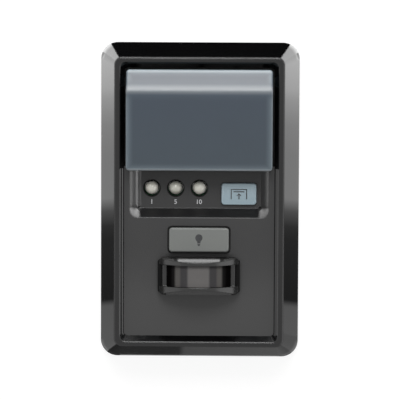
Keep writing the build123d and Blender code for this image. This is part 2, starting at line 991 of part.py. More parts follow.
# Service keys under the push bar: lock on the left, timer on the right, learn below it
for name, side in {"lock": -1, "timer": 1}.items():
    with BuildPart() as service_key:
        key_x = side * service_key_x
        slab(
            service_key_width,
            service_key_height,
            floor_back - key_lip_gap,
            floor_depth + service_key_proud,
            key_x,
            service_key_z,
            corner=service_key_corner,
        )
        fillet(faces().sort_by(Axis.Y)[0].edges(), key_edge_round)
        add_lip_and_stem(
            service_key_width, service_key_height, key_x, service_key_z, floor_back, False
        )
    finish(service_key, f"{name}_key")
    tact_switch(name, key_x, service_key_z, False, plunger_reach(False))

with BuildPart() as learn_key:
    disc(
        learn_key_radius,
        floor_back - key_lip_gap,
        floor_depth + service_key_proud,
        service_key_x,
        learn_key_z,
    )
    fillet(faces().sort_by(Axis.Y)[0].edges(), key_edge_round)
    add_lip_and_stem(
        2 * learn_key_radius, 2 * learn_key_radius, service_key_x, learn_key_z, floor_back, False
    )
finish(learn_key, "learn_key")
tact_switch("learn", service_key_x, learn_key_z, False, plunger_reach(False))

# Main switch, pressed by the rib of the push bar
tact_switch("main", 0, main_switch_z, True, floor_depth + main_plunger_proud)


def add_chip(length, breadth, lead_count, x, z):
    """A small chip with a row of bent leads on each long side."""
    chip_back = board_front + chip_lift
    slab(length, breadth, chip_back, board_front + chip_thickness, x, z)
    chamfer(faces().sort_by(Axis.Y)[0].edges(), chip_lift)
    shoulder = (chip_back + board_front + chip_thickness) / 2
    for side in (-1, 1):
        with BuildSketch(Plane.YZ.offset(x)) as lead_view:
            edge_z = z + side * breadth / 2
            knee_z = edge_z + side * chip_lead_reach / 2
            toe_z = edge_z + side * chip_lead_reach
            inner_z = edge_z - side * chip_lead_thickness
            with BuildLine():
                Polyline(
                    (-shoulder, inner_z),
                    (-shoulder, knee_z),
                    (-board_front - chip_lead_thickness, knee_z),
                    (-board_front - chip_lead_thickness, toe_z),
                    (-board_front, toe_z),
                    (-board_front, knee_z - side * chip_lead_thickness),
                    (-shoulder + chip_lead_thickness, knee_z - side * chip_lead_thickness),
                    (-shoulder + chip_lead_thickness, inner_z),
                    close=True,
                )
            make_face()
        row = extrude(lead_view.sketch, amount=chip_lead_width / 2, both=True, mode=Mode.PRIVATE)
        first = -(lead_count - 1) / 2
        for index in range(lead_count):
            add(Pos((first + index) * chip_lead_pitch, 0, 0) * row)


with BuildPart() as microcontroller:
    add_chip(controller_length, controller_breadth, 10, controller_x, controller_z)
finish(microcontroller, "microcontroller")

with BuildPart() as amplifier_chip:
    add_chip(amplifier_length, amplifier_breadth, 4, amplifier_x, amplifier_z)
finish(amplifier_chip, "amplifier_chip")

with BuildPart() as crystal:
    slab(
        crystal_length,
        crystal_breadth,
        board_front,
        board_front + crystal_brim,
        crystal_x,
        crystal_z,
        corner=crystal_corner,
    )
    slab(
        crystal_length - 2 * crystal_brim,
        crystal_breadth - 2 * crystal_brim,
        board_front + crystal_brim,
        board_front + crystal_height,
        crystal_x,
        crystal_z,
        corner=crystal_corner - crystal_brim,
    )
    fillet(faces().sort_by(Axis.Y)[0].edges(), crystal_brim)
finish(crystal, "crystal")

for name, side in {"supply_capacitor": -1, "filter_capacitor": 1}.items():
    with BuildPart() as capacitor:
        can_x = side * capacitor_x
        base_front = board_front + capacitor_groove
        groove_front = base_front + 2 * capacitor_groove
        slab(
            2 * capacitor_radius,
            2 * capacitor_radius,
            board_front,
            base_front,
            can_x,
            capacitor_z,
        )
        disc(capacitor_radius, base_front, base_front + capacitor_groove, can_x, capacitor_z)
        disc(
            capacitor_radius - capacitor_groove,
            base_front + capacitor_groove,
            groove_front,
            can_x,
            capacitor_z,
        )
        disc(
            capacitor_radius,
            groove_front,
            board_front + capacitor_height,
            can_x,
            capacitor_z,
        )
        fillet(faces().sort_by(Axis.Y)[0].edges(), capacitor_groove)
    finish(capacitor, name)

with BuildPart() as line_diodes:
    with BuildSketch(front_plane(board_front)) as diode_bodies:
        with Locations((diode_x, diode_z)):
            with GridLocations(diode_pitch_x, diode_pitch_z, 2, 2):
                Rectangle(diode_length, diode_breadth)
    extrude(diode_bodies.sketch, amount=diode_height, taper=diode_draft_angle)
finish(line_diodes, "line_diodes")

with BuildPart() as voltage_regulator:
    slab(
        regulator_width,
        regulator_breadth,
        board_front,
        board_front + regulator_height,
        regulator_x,
        regulator_z,
    )
    chamfer(faces().sort_by(Axis.Y)[0].edges(), chip_lift)
    slab(
        regulator_tab_width,
        regulator_tab_length,
        board_front,
        board_front + chip_lead_thickness,
        regulator_x,
        regulator_z,
    )
finish(voltage_regulator, "voltage_regulator")

with BuildPart() as key_lamps:
    with BuildSketch(front_plane(board_front)) as lamp_bodies:
        with Locations((hold_key_x, hold_key_z)):
            with GridLocations(key_lamp_spread, 0, 2, 1):
                Rectangle(key_lamp_width, key_lamp_length)
    extrude(lamp_bodies.sketch, amount=key_lamp_height)
finish(key_lamps, "key_lamps")


# Wire terminals on the back of the board: brass plates with posts, and their screws
terminal_front = board_front + terminal_post_height
plate_back = board_back - terminal_plate_thickness
with BuildPart() as terminal_plates:
    for side in (-1, 1):
        terminal_x = side * terminal_spread / 2
        slab(
            terminal_plate_size,
            terminal_plate_size,
            plate_back,
            board_back,
            terminal_x,
            terminal_z,
            corner=terminal_plate_thickness,
        )
        disc(
            terminal_screw_radius + screw_fit,
            plate_back,
            board_back,
            terminal_x,
            terminal_z,
            mode=Mode.SUBTRACT,
        )
        disc(terminal_post_radius, board_front, terminal_front, terminal_x, terminal_z)
        disc(
            terminal_screw_radius + screw_fit,
            board_front,
            terminal_front,
            terminal_x,
            terminal_z,
            mode=Mode.SUBTRACT,
        )
finish(terminal_plates, "terminal_plates")


def add_screw(x, z, seat, length, radius, head_radius, head_height):
    """A screw that goes forward from its seat, with a cross-slot in its pan head."""
    disc(head_radius, seat - head_height, seat, x, z)
    disc(radius, seat, seat + length, x, z)
    slot_width = 2 * head_radius * slot_share
    slot_length = 2 * head_radius - slot_width
    for turn in (0, 90):
        with BuildSketch(front_plane(seat - head_height)) as cross:
            with Locations((x, z)):
                Rectangle(slot_length, slot_width, rotation=turn)
        extrude(cross.sketch, amount=slot_depth, mode=Mode.SUBTRACT)


with BuildPart() as terminal_screws:
    for side in (-1, 1):
        add_screw(
            side * terminal_spread / 2,
            terminal_z,
            plate_back,
            terminal_front - plate_back,
            terminal_screw_radius,
            terminal_head_radius,
            terminal_head_height,
        )
finish(terminal_screws, "terminal_screws")

with BuildPart() as board_screws:
    for side in (-1, 1):
        for height in (board_screw_high, board_screw_low):
            add_screw(
                side * board_screw_x,
                height,
                board_back,
                board_screw_length,
                board_screw_radius,
                board_head_radius,
                board_head_height,
            )
finish(board_screws, "board_screws")

with BuildPart() as plate_screws:
    for side in (-1, 1):
        for height in (plate_screw_high, plate_screw_low):
            add_screw(
                side * plate_screw_x,
                height,
                plate_head_height + head_gap,
                plate_screw_length,
                plate_screw_radius,
                plate_head_radius,
                plate_head_height,
            )
finish(plate_screws, "plate_screws")

print("Rib of the bar meets the main switch after", round(press_angle, 2), "degrees")
print("Hood radius", round(hood_radius, 2), "and lens radius", round(lens_radius, 2))
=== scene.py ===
# %% [markdown]
# # A wall control for a garage door, dressed in Blender
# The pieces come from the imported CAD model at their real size, in metres, with Z up and the face looking
# along -Y. This lesson gives every surface its finish, adds the small things that are printed or soldered,
# and lights the object like a product on a white wall.

# %% Load the frame
import json
from math import cos, pi, radians, sin

import bmesh
import bpy
from mathutils import Matrix, Vector


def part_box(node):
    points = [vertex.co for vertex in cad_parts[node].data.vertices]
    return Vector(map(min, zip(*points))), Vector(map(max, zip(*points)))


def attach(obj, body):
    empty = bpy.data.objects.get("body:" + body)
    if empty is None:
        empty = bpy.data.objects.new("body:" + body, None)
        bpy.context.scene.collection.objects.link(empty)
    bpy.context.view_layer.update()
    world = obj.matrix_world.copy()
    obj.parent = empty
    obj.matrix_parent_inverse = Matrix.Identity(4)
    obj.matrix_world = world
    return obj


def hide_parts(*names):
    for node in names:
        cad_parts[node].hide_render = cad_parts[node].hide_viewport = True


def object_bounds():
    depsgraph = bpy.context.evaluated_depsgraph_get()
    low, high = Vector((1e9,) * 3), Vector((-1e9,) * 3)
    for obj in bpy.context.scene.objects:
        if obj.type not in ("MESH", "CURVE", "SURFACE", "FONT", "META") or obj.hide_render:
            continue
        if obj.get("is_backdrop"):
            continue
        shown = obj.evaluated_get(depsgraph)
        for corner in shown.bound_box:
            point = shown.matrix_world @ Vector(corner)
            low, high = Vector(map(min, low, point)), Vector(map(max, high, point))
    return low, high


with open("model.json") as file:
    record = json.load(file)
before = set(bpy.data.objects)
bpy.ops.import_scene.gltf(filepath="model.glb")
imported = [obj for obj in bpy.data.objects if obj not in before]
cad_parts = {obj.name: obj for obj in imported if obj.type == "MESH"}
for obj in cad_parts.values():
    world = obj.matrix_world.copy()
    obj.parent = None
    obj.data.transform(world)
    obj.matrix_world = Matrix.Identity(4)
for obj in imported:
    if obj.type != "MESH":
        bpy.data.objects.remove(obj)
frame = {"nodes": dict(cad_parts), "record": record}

cad_low, cad_high = (Vector(corner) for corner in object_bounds())
MM = 0.001
print("CAD box in mm:", [round(v / MM, 2) for v in (*cad_low, *cad_high)])


def put_in_scene(name, data):
    """A new object for a mesh, curve, lamp or camera, linked to the scene."""
    made = bpy.data.objects.new(name, data)
    bpy.context.collection.objects.link(made)
    return made


# %% [markdown]
# ## Camera
# A product photograph is taken from far away with a long lens, so that the sides hardly spread. The angles
# and the focal length were fitted to the outline and to the parallax between the layers of the face. A
# constraint could aim the camera, but a matrix also keeps the small roll: its columns are the right, up and
# backward directions.

# %% Camera at the photograph's angle
azimuth, elevation, roll = radians(1.17), radians(4.09), radians(0.25)
camera_distance = 0.950
focal_pixels, image_pixels, sensor_mm = 2401.6, 400, 36.0
target = Vector((0.02 * MM, 0, -0.25 * MM))

back = Vector((sin(azimuth) * cos(elevation), -cos(azimuth) * cos(elevation), sin(elevation)))
level = Vector((cos(azimuth), sin(azimuth), 0))
upright = back.cross(level)
right = cos(roll) * level + sin(roll) * upright
up = -sin(roll) * level + cos(roll) * upright
camera_data = bpy.data.cameras.new("product_camera")
camera_data.sensor_width = sensor_mm
camera_data.lens = focal_pixels / image_pixels * sensor_mm
camera = put_in_scene("product_camera", camera_data)
axes = Matrix((right, up, back)).transposed().to_4x4()
camera.matrix_world = Matrix.Translation(target + back * camera_distance) @ axes
bpy.context.scene.camera = camera
bpy.context.scene.view_settings.view_transform = "Standard"
print("Lens of", round(camera_data.lens, 1), "mm")

# %% [markdown]
# ## Helpers for materials
# A material is a small network of nodes. It could be wired by hand in the shader editor, but written down
# it comes out the same each time. One function adds a node of any kind, sets it and links what feeds it.
# Another turns hex colours into the linear numbers that a renderer adds up.

# %% Node and colour helpers
def linear(hex_colour):
    """An sRGB colour written in hex, as linear red, green, blue and full alpha."""
    parts = [int(hex_colour[i:i + 2], 16) / 255 for i in (1, 3, 5)]
    return (*[c / 12.92 if c <= 0.04045 else ((c + 0.055) / 1.055) ** 2.4 for c in parts], 1.0)


def feed(tree, value, socket):
    """Link a socket, or the first live output of a node, into a socket, or set the socket to a value."""
    if isinstance(value, bpy.types.Node):
        value = next(output for output in value.outputs if output.enabled)
    if isinstance(value, bpy.types.NodeSocket):
        tree.links.new(value, socket)
    else:
        socket.default_value = value


def add_node(tree, kind, inputs=(), **settings):
    """Add a node, set its properties, and feed its inputs, given by name or as a list in their order."""
    made = tree.nodes.new(kind)
    for name, value in settings.items():
        setattr(made, name, value)
    for key, value in inputs.items() if isinstance(inputs, dict) else enumerate(inputs):
        feed(tree, value, made.inputs[key])
    return made


def lay_colour(tree, under, over, value, none_at, full_at):
    """Lay a colour over another: none of it where the value is none_at, all of it where it is full_at."""
    ends = {"Value": value, "From Min": none_at, "From Max": full_at}
    share = add_node(tree, "ShaderNodeMapRange", ends, interpolation_type="SMOOTHSTEP")
    return add_node(tree, "ShaderNodeMix", {"Factor": share, "A": under, "B": over}, data_type="RGBA")


print("Middle grey is", round(linear("#808080")[0], 3), "in linear light")

# %% [markdown]
# A pattern needs a place to be drawn on. Object coordinates are metres from the origin here, so a grain of
# 0.35 mm is really that size, and it stays on the piece when the piece moves.

# %% Patterns of a real size
def new_material(name):
    """An empty node material with its shader, and Object coordinates to draw patterns in metres."""
    material = bpy.data.materials.new(name)
    material.use_nodes = True
    tree = material.node_tree
    shader = tree.nodes["Principled BSDF"]
    place = add_node(tree, "ShaderNodeTexCoord").outputs["Object"]
    return material, tree, shader, place


def roughen(tree, shader, pattern, roughness, spread):
    """Let the roughness waver round its value with a pattern, by this spread in all."""
    least = roughness - spread / 2
    uneven = add_node(tree, "ShaderNodeMath", [pattern, spread, least], operation="MULTIPLY_ADD")
    feed(tree, uneven, shader.inputs["Roughness"])


def raise_bumps(tree, shader, pattern, depth_mm, strength=1.0, edge_mm=0):
    """Shade a pattern as bumps of this depth, and edges as if they were rounded by this radius."""
    inputs = {"Height": pattern, "Distance": depth_mm * MM, "Strength": strength}
    bump = add_node(tree, "ShaderNodeBump", inputs)
    if edge_mm:
        rounded = add_node(tree, "ShaderNodeBevel", {"Radius": edge_mm * MM}, samples=6)
        feed(tree, rounded, bump.inputs["Normal"])
    feed(tree, bump, shader.inputs["Normal"])


def outside_box(tree, place, centre, half):
    """Distance in X and Z outside a rectangle on the face, negative inside it, in metres."""
    coordinates = add_node(tree, "ShaderNodeSeparateXYZ", [place]).outputs
    distances = []
    for axis in (0, 2):
        offset = add_node(tree, "ShaderNodeMath", [coordinates[axis], centre[axis]], operation="SUBTRACT")
        reach = add_node(tree, "ShaderNodeMath", [offset], operation="ABSOLUTE")
        distances.append(add_node(tree, "ShaderNodeMath", [reach, half[axis]], operation="SUBTRACT"))
    return add_node(tree, "ShaderNodeMath", distances, operation="MAXIMUM")


print("Patterns are drawn in steps of", MM, "m")

# %% [markdown]
# ## Moulded plastics
# Most of this object is injection moulded. A steel mould leaves its own skin on the plastic: a polished
# mould gives a mirror, a spark-eroded one gives a fine pitted grain, and a vapour-blasted one a satin.
# Photographs of plastic could be wrapped round the pieces, but one function holds what these share: a base
# colour with a faint drift, a grain of a real size, and a roughness. ABS has an IOR near 1.53.

# %% One function for moulded plastic
drift_mm, plastic_spread = 9, 0.16


def moulded_plastic(name, colour, drift, roughness, grain_mm, grain_depth, ior=1.53, edge_mm=0, painted_fade=None):
    """Moulded plastic whose grain has this size and depth, and whose edges look this round, in millimetres.

    painted_fade is painted light or shade: axis number, mm where it starts and is full, and the colour
    reached.
    """
    material, tree, shader, place = new_material(name)
    spot_pattern = {"Vector": place, "Scale": 1 / (drift_mm * MM), "Detail": 3.0}
    spots = add_node(tree, "ShaderNodeTexNoise", spot_pattern)
    shades = {"Factor": spots, "A": linear(colour), "B": linear(drift)}
    base = add_node(tree, "ShaderNodeMix", shades, data_type="RGBA")
    if painted_fade:
        axis, start_mm, full_mm, reached = painted_fade
        along = add_node(tree, "ShaderNodeSeparateXYZ", [place]).outputs[axis]
        base = lay_colour(tree, base, linear(reached), along, start_mm * MM, full_mm * MM)
    feed(tree, base, shader.inputs["Base Color"])
    grain_pattern = {"Vector": place, "Scale": 1 / (grain_mm * MM), "Detail": 4.0}
    grain = add_node(tree, "ShaderNodeTexNoise", grain_pattern)
    roughen(tree, shader, grain, roughness, plastic_spread)
    raise_bumps(tree, shader, grain, grain_depth, edge_mm=edge_mm)
    shader.inputs["IOR"].default_value = ior
    return material


print("A plastic's colour drifts over", drift_mm, "mm")

# %% [markdown]
# ## The housing's black ABS
# One shot of black ABS fills the whole housing, but its mould has several skins. The frame is polished, the
# panel is spark textured, and the tray's slopes are satin. They could be one material with painted masks,
# but separate ones, given out by face, keep each skin simple and sharp at its border.

# %% Black ABS in six skins
# A mirror with a breath of waviness, so the frame looks as dark or light as what stands round it
polished_abs = moulded_plastic("polished_black_abs", "#060607", "#09090a",
                               roughness=0.10, grain_mm=6.0, grain_depth=0.0004, edge_mm=1.3)
# A charcoal matt skin. Real spark pits are about 0.1 mm and are drawn 0.35 mm wide, so that they show
# It is painted lighter downwards from 16 mm under the middle, fully from 40 mm: a painted pool of light
spark_abs = moulded_plastic("spark_textured_black_abs", "#232324", "#292929",
                            roughness=0.50, grain_mm=0.35, grain_depth=0.05,
                            painted_fade=(2, -16, -40, "#353535"))
# The same skin deep in the tray and round the lamps, painted darker: painted shade of the walls and the bar
tray_shade_abs = moulded_plastic("spark_textured_black_abs_painted_shade", "#1a1a1b", "#1f1f1f",
                            roughness=0.52, grain_mm=0.35, grain_depth=0.05)
# The step inside the crest: as glossy as the frame, with crisp edges that draw thin bright lines
step_abs = moulded_plastic("polished_black_abs_step", "#060607", "#09090a",
                           roughness=0.12, grain_mm=6.0, grain_depth=0.0004)
# Walls down in the gaps, as they leave the mould: dull and nearly black
raw_abs = moulded_plastic("raw_black_abs", "#050505", "#070707",
                          roughness=0.60, grain_mm=0.35, grain_depth=0.01)
raw_abs.node_tree.nodes["Principled BSDF"].inputs["Specular IOR Level"].default_value = 0.1
# Blasted slopes of the tray: a soft sheen that smears what it mirrors
satin_abs = moulded_plastic("satin_black_abs", "#0e0e0f", "#121213",
                            roughness=0.34, grain_mm=0.8, grain_depth=0.0005, edge_mm=1.0)
print("Black ABS skins:", sum("black_abs" in m.name for m in bpy.data.materials))

# %% [markdown]
# ## The other moulded pieces
# Keys, sensor frame, back plate and small inner parts are moulded too. The same function makes them, so
# that only what differs is written.

# %% Plastics of keys, sensor frame and inner parts
# The back plate is a coarser, greyer spark skin that shows no highlight
plate_abs = moulded_plastic("spark_textured_back_plate_abs", "#2b2b2c", "#333334",
                            roughness=0.60, grain_mm=0.45, grain_depth=0.05)
# The sensor's frame is almost polished: dark grey, with soft light along its edges
bezel_abs = moulded_plastic("satin_grey_abs", "#1e1e1e", "#222221",
                            roughness=0.22, grain_mm=0.30, grain_depth=0.0006, edge_mm=0.6)
# The light key is an even middle grey, painted black down in its gap: painted shade, as no light gets there
light_key_abs = moulded_plastic("satin_grey_key_abs", "#727574", "#797b77",
                                roughness=0.42, grain_mm=0.30, grain_depth=0.010,
                                painted_fade=(1, -15.4, -14.8, "#060606"))
# The service keys are a darker, duller grey, to be overlooked
service_key_abs = moulded_plastic("satin_service_key_abs", "#55575a", "#5c5e60",
                                  roughness=0.45, grain_mm=0.30, grain_depth=0.010)
# Chips are cast in filled epoxy: matt, with a fine sandy grain
chip_epoxy = moulded_plastic("moulded_chip_epoxy", "#1b1b1d", "#232325",
                             roughness=0.60, grain_mm=0.12, grain_depth=0.006)
# Nylon switch cases have a waxy half-gloss
switch_nylon = moulded_plastic("moulded_black_nylon", "#1d1d20", "#26262a",
                               roughness=0.50, grain_mm=0.20, grain_depth=0.008)
# Acetal is slippery and smooth, and the plungers are brown so that a fitter can tell their force
plunger_acetal = moulded_plastic("brown_acetal", "#5e4433", "#6b4e3a",
                                 roughness=0.38, grain_mm=0.20, grain_depth=0.004, ior=1.48)
# Silicone over the key's lamps is a milky, soft-looking white
silicone_white = moulded_plastic("white_silicone", "#e9e8dc", "#dfded2",
                                 roughness=0.45, grain_mm=0.25, grain_depth=0.004, ior=1.43)
print("Last plastic:", silicone_white.name)

# %% [markdown]
# ## Frosted polycarbonate
# The push bar is a smoke-tinted flap, blasted to a frost, so light enters it and comes back softly. Its
# thin rims and the fold near its top catch more light. Real transparency would show the inside and render
# slowly. So the frost is a grain on a rough surface, the depth is a little subsurface light, and the light
# on
# the rims and the fold is painted: pale highlights drawn by distance, and top and bottom get colours of
# their own as painted light. Polycarbonate has an IOR near 1.58.

# %% One function for frosted plastic
cloud_mm, cloud_share = 14, 0.10
frost_mm, frost_depth, frost_spread = 0.22, 0.010, 0.10
glow_weight, polycarbonate_ior = 0.25, 1.58
# The top's colour is full at this share of the height under the top; a painted rim highlight blurs this
# share of its width outwards, and a painted highlight line is full within this share of its width
top_share, rim_blur, line_core = 0.2, 0.3, 0.1


def frosted_polycarbonate(name, colours, box, painted_rim_mm, roughness, glow_mm, lines=()):
    """A frosted, tinted plastic with painted light: colours for top, bottom and rim; lines are painted
    highlights of height, width and colour.
    """
    material, tree, shader, place = new_material(name)
    top, bottom, rim = (linear(colour) for colour in colours)
    low, high = box
    height = add_node(tree, "ShaderNodeSeparateXYZ", [place]).outputs["Z"]
    full_height = high[2] - top_share * (high[2] - low[2])
    tinted = lay_colour(tree, bottom, top, height, low[2], full_height)
    edge = outside_box(tree, place, (low + high) / 2, (high - low) / 2)
    tinted = lay_colour(tree, tinted, rim, edge, -painted_rim_mm * MM, rim_blur * painted_rim_mm * MM)
    for line_z, line_mm, line_colour in lines:
        offset = add_node(tree, "ShaderNodeMath", [height, line_z], operation="SUBTRACT")
        away = add_node(tree, "ShaderNodeMath", [offset], operation="ABSOLUTE")
        tinted = lay_colour(tree, tinted, linear(line_colour), away, line_mm * MM, line_core * line_mm * MM)
    cloud_pattern = {"Vector": place, "Scale": 1 / (cloud_mm * MM), "Detail": 2.0}
    clouds = add_node(tree, "ShaderNodeTexNoise", cloud_pattern)
    darkest = 1 - cloud_share / 2
    shade = add_node(tree, "ShaderNodeMath", [clouds, cloud_share, darkest], operation="MULTIPLY_ADD")
    varied = add_node(tree, "ShaderNodeVectorMath", {"Vector": tinted, "Scale": shade}, operation="SCALE")
    feed(tree, varied, shader.inputs["Base Color"])
    frost_pattern = {"Vector": place, "Scale": 1 / (frost_mm * MM), "Detail": 3.0}
    frost = add_node(tree, "ShaderNodeTexNoise", frost_pattern)
    roughen(tree, shader, frost, roughness, frost_spread)
    raise_bumps(tree, shader, frost, frost_depth)
    shader.inputs["IOR"].default_value = polycarbonate_ior
    shader.inputs["Subsurface Weight"].default_value = glow_weight
    shader.inputs["Subsurface Radius"].default_value = (glow_mm * MM, glow_mm * MM, glow_mm * MM)
    shader.inputs["Subsurface Scale"].default_value = 1.0
    return material


def box_of(node):
    """The low and high corners of a node, as vectors."""
    return tuple(Vector(corner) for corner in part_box(node))


print("Frost grains of", frost_mm, "mm")

# %% [markdown]
# The bar, the hold-open key and the lamps share that function. The bar is dark smoke and the key pale ice,
# lit from behind. The lamps are cast in diffused epoxy, which has a white powder in it, so they look like
# small pearls rather than clear drops.

# %% Push bar, hold-open key and lamp materials
bar_low, bar_high = box_of("push_bar")
fold_height = 43.9 * MM
bar_painted_highlights = (
    (fold_height, 5.0, "#414d59"),
    (fold_height, 2.4, "#80868b"),
    (bar_high[2], 1.6, "#98a4aa"),
    (bar_low[2], 1.1, "#8a9196"),
)
# Slate blue in the middle, with painted highlights on the rims, top and bottom edges and fold, blurred into
# it
bar_frost = frosted_polycarbonate("frosted_smoke_polycarbonate", ("#333f4c", "#35414b", "#66737b"),
                                  (bar_low, bar_high),
                                  painted_rim_mm=3.2, roughness=0.34, glow_mm=0.8, lines=bar_painted_highlights)
# Pale ice blue, painted lighter at its top and rims and darker below: painted light and shade
hold_low, hold_high = box_of("hold_open_key")
key_lip = Vector((1.0 * MM, 0, 1.0 * MM))
hold_frost = frosted_polycarbonate("frosted_ice_polycarbonate", ("#a6b9c2", "#90a4ad", "#a6b8c0"),
                                   (hold_low + key_lip, hold_high - key_lip),
                                   painted_rim_mm=0.8, roughness=0.40, glow_mm=0.9)
# Warm white with a small sharp highlight, because the mould's cavity is polished. Its lighter top and rim
# and darker bottom are painted light and shade
lamp_epoxy = frosted_polycarbonate("diffused_lamp_epoxy", ("#d6d5ca", "#c0bfb3", "#dddbd1"),
                                   box_of("timer_led_5"), painted_rim_mm=0.4, roughness=0.16, glow_mm=1.2)
print("The bar folds", round((bar_high[2] - fold_height) / MM, 1), "mm under its top")

# %% [markdown]
# ## Metals
# Small metal parts are plated or drawn, so they carry fine scratches along one direction. An image of
# brushed metal would repeat, so the scratches are a noise that is stretched along X. A metal keeps the
# default IOR, because its colour already says how it reflects.

# %% Plated and drawn metals
scratch_stretch, scratch_spread, scratch_depth = 0.06, 0.18, 0.004


def plated_metal(name, colour, roughness, scratch_mm):
    """A plated or drawn metal with fine scratches that run along X."""
    material, tree, shader, place = new_material(name)
    stretched = add_node(tree, "ShaderNodeMapping", {"Vector": place, "Scale": (scratch_stretch, 1.0, 1.0)})
    pattern = {"Vector": stretched, "Scale": 1 / (scratch_mm * MM), "Detail": 4.0}
    scratches = add_node(tree, "ShaderNodeTexNoise", pattern)
    roughen(tree, shader, scratches, roughness, scratch_spread)
    raise_bumps(tree, shader, scratches, scratch_depth)
    shader.inputs["Base Color"].default_value = linear(colour)
    shader.inputs["Metallic"].default_value = 1.0
    return material


# Nickel is a warm, slightly yellow silver on the sensor's can and the crystal
nickel = plated_metal("nickel_plate", "#b9b6ae", roughness=0.30, scratch_mm=0.15)
# Bright zinc is a cold, bluish silver on the screws, and stands for the lamps' tinned leads
zinc = plated_metal("bright_zinc_plate", "#c3c6ca", roughness=0.28, scratch_mm=0.12)
# Brass under the wires keeps its gold through a thin coat of tin
brass = plated_metal("tinned_brass", "#c4a868", roughness=0.30, scratch_mm=0.20)
# Drawn capacitor cans are a pale, softly brushed grey
drawn_aluminium = plated_metal("drawn_aluminium", "#c9cacc", roughness=0.32, scratch_mm=0.25)
print("Metals:", [metal.name for metal in (nickel, zinc, brass, drawn_aluminium)])

# %% [markdown]
# ## Circuit board
# The board is glass-fibre laminate under a green lacquer, the solder mask, through which the copper tracks
# show as lighter lines. They could be modelled, but little of the board is ever seen, so wavering stripes
# at the usual pitch of 2.54 mm are drawn in the material.

# %% Solder mask
track_pitch_mm, track_share, wander_mm, wander_tracks = 2.54, 0.16, 7.6, 6.0
track_depth, track_strength, mask_roughness = 0.02, 0.6, 0.28


def solder_mask(name, mask, track):
    """Green solder mask over a row of copper tracks, with the gloss of a screened lacquer."""
    material, tree, shader, place = new_material(name)
    sideways = add_node(tree, "ShaderNodeSeparateXYZ", [place]).outputs["X"]
    pitches = add_node(tree, "ShaderNodeMath", [sideways, track_pitch_mm * MM], operation="DIVIDE")
    pattern = {"Vector": place, "Scale": 1 / (wander_mm * MM), "Detail": 0.0}
    wander = add_node(tree, "ShaderNodeTexNoise", pattern)
    across = add_node(tree, "ShaderNodeMath", [wander, wander_tracks, pitches], operation="MULTIPLY_ADD")
    within = add_node(tree, "ShaderNodeMath", [across], operation="FRACT")
    offset = add_node(tree, "ShaderNodeMath", [within, 0.5], operation="SUBTRACT")
    from_middle = add_node(tree, "ShaderNodeMath", [offset], operation="ABSOLUTE")
    line = add_node(tree, "ShaderNodeMath", [from_middle, track_share], operation="LESS_THAN")
    shades = {"Factor": line, "A": linear(mask), "B": linear(track)}
    feed(tree, add_node(tree, "ShaderNodeMix", shades, data_type="RGBA"), shader.inputs["Base Color"])
    raise_bumps(tree, shader, line, track_depth, strength=track_strength)
    shader.inputs["Roughness"].default_value = mask_roughness
    return material


# A glossy leaf green, seen as dark glints round the lamps
board_mask = solder_mask("green_solder_mask", "#1f6a3c", "#2c8450")
print("Tracks every", track_pitch_mm, "mm")

# %% [markdown]
# ## Sensor window and ink
# The sensor's window is a smoked polyethylene sheet, because glass would stop the body heat that it looks
# for. Its upright bands are painted by distance from the middle: the light ones are painted reflections of
# the studio's lights, and the dark ones painted shade, near black at the ends, where the sheet turns away.
# Modelled lenses would be too fine to see, so the rings are a faint bump.

# %% Smoked sheet, filter and inks
band_blur_mm, sheet_roughness = 0.55, 0.38
# Real rings are under a millimetre apart. They are drawn as a wider swell, so that they show at all
ring_pitch_mm, ring_depth, ring_strength, ring_waver = 5.655, 0.003, 0.5, 0.4
# A Wave texture repeats after this many metres at scale 1
wave_pitch = 2 * pi / 20


def lens_sheet(name, painted_bands, ring_mm):
    """Smoked polyethylene with painted bands: each reaches this far from the middle and has this colour,
    light for a painted reflection and dark for painted shade.
    """
    material, tree, shader, place = new_material(name)
    sideways = add_node(tree, "ShaderNodeSeparateXYZ", [place]).outputs["X"]
    away = add_node(tree, "ShaderNodeMath", [sideways], operation="ABSOLUTE")
    colour = linear(painted_bands[0][1])
    for (reach, _), (_, outer) in zip(painted_bands, painted_bands[1:]):
        start, stop = (reach - band_blur_mm) * MM, (reach + band_blur_mm) * MM
        colour = lay_colour(tree, colour, linear(outer), away, start, stop)
    feed(tree, colour, shader.inputs["Base Color"])
    swell = {"Vector": place, "Scale": wave_pitch / (ring_mm * MM), "Distortion": ring_waver}
    rings = add_node(tree, "ShaderNodeTexWave", swell, bands_direction="Z")
    raise_bumps(tree, shader, rings.outputs[1], ring_depth, strength=ring_strength)
    shader.inputs["Roughness"].default_value = sheet_roughness
    shader.inputs["Specular IOR Level"].default_value = 0.0
    return material


lens_painted_bands = [(4.2, "#6c6a69"), (7.1, "#454445"), (9.1, "#5b5957"), (10.4, "#1b1a1a"), (12.5, "#0a0909")]
# Warm grey bands without a highlight: painted reflections in the light bands, painted shade in the dark ones
smoked_sheet = lens_sheet("smoked_polyethylene_sheet", lens_painted_bands, ring_pitch_mm)
# The filter on the detector is polished silicon: a dark violet mirror with a high IOR
filter_silicon = moulded_plastic("polished_silicon_filter", "#2a2430", "#332b3b",
                                 roughness=0.10, grain_mm=0.5, grain_depth=0.0005, ior=1.9)
# Screen ink is a matt film with a faint mesh grain, pale on black plastic and dark on pale keys
pale_ink = moulded_plastic("pale_screen_ink", "#b4b5b7", "#cfd0d2",
                           roughness=0.60, grain_mm=0.12, grain_depth=0.003, ior=1.50)
dark_ink = moulded_plastic("dark_screen_ink", "#2c2d2f", "#3a3b3d",
                           roughness=0.60, grain_mm=0.12, grain_depth=0.003, ior=1.50)
print("The window has", len(lens_painted_bands), "zones to each side")

# %% [markdown]
# ## Smooth normals for CAD pieces
# A CAD mesh arrives as loose flat triangles, which would show as facets in a polished bevel. Plain smooth
# shading would bend the light on the large flats, because a rounded edge is only a few thin strips beside
# them. So each corner's normal is a blend of its faces in which the larger flat region wins: flats stay
# flat, and the strips take up the whole turn, as a real rounded edge does.

# %% Normals by flat region
sharp_angle, flat_angle, weld_mm = radians(32), radians(0.4), 0.002


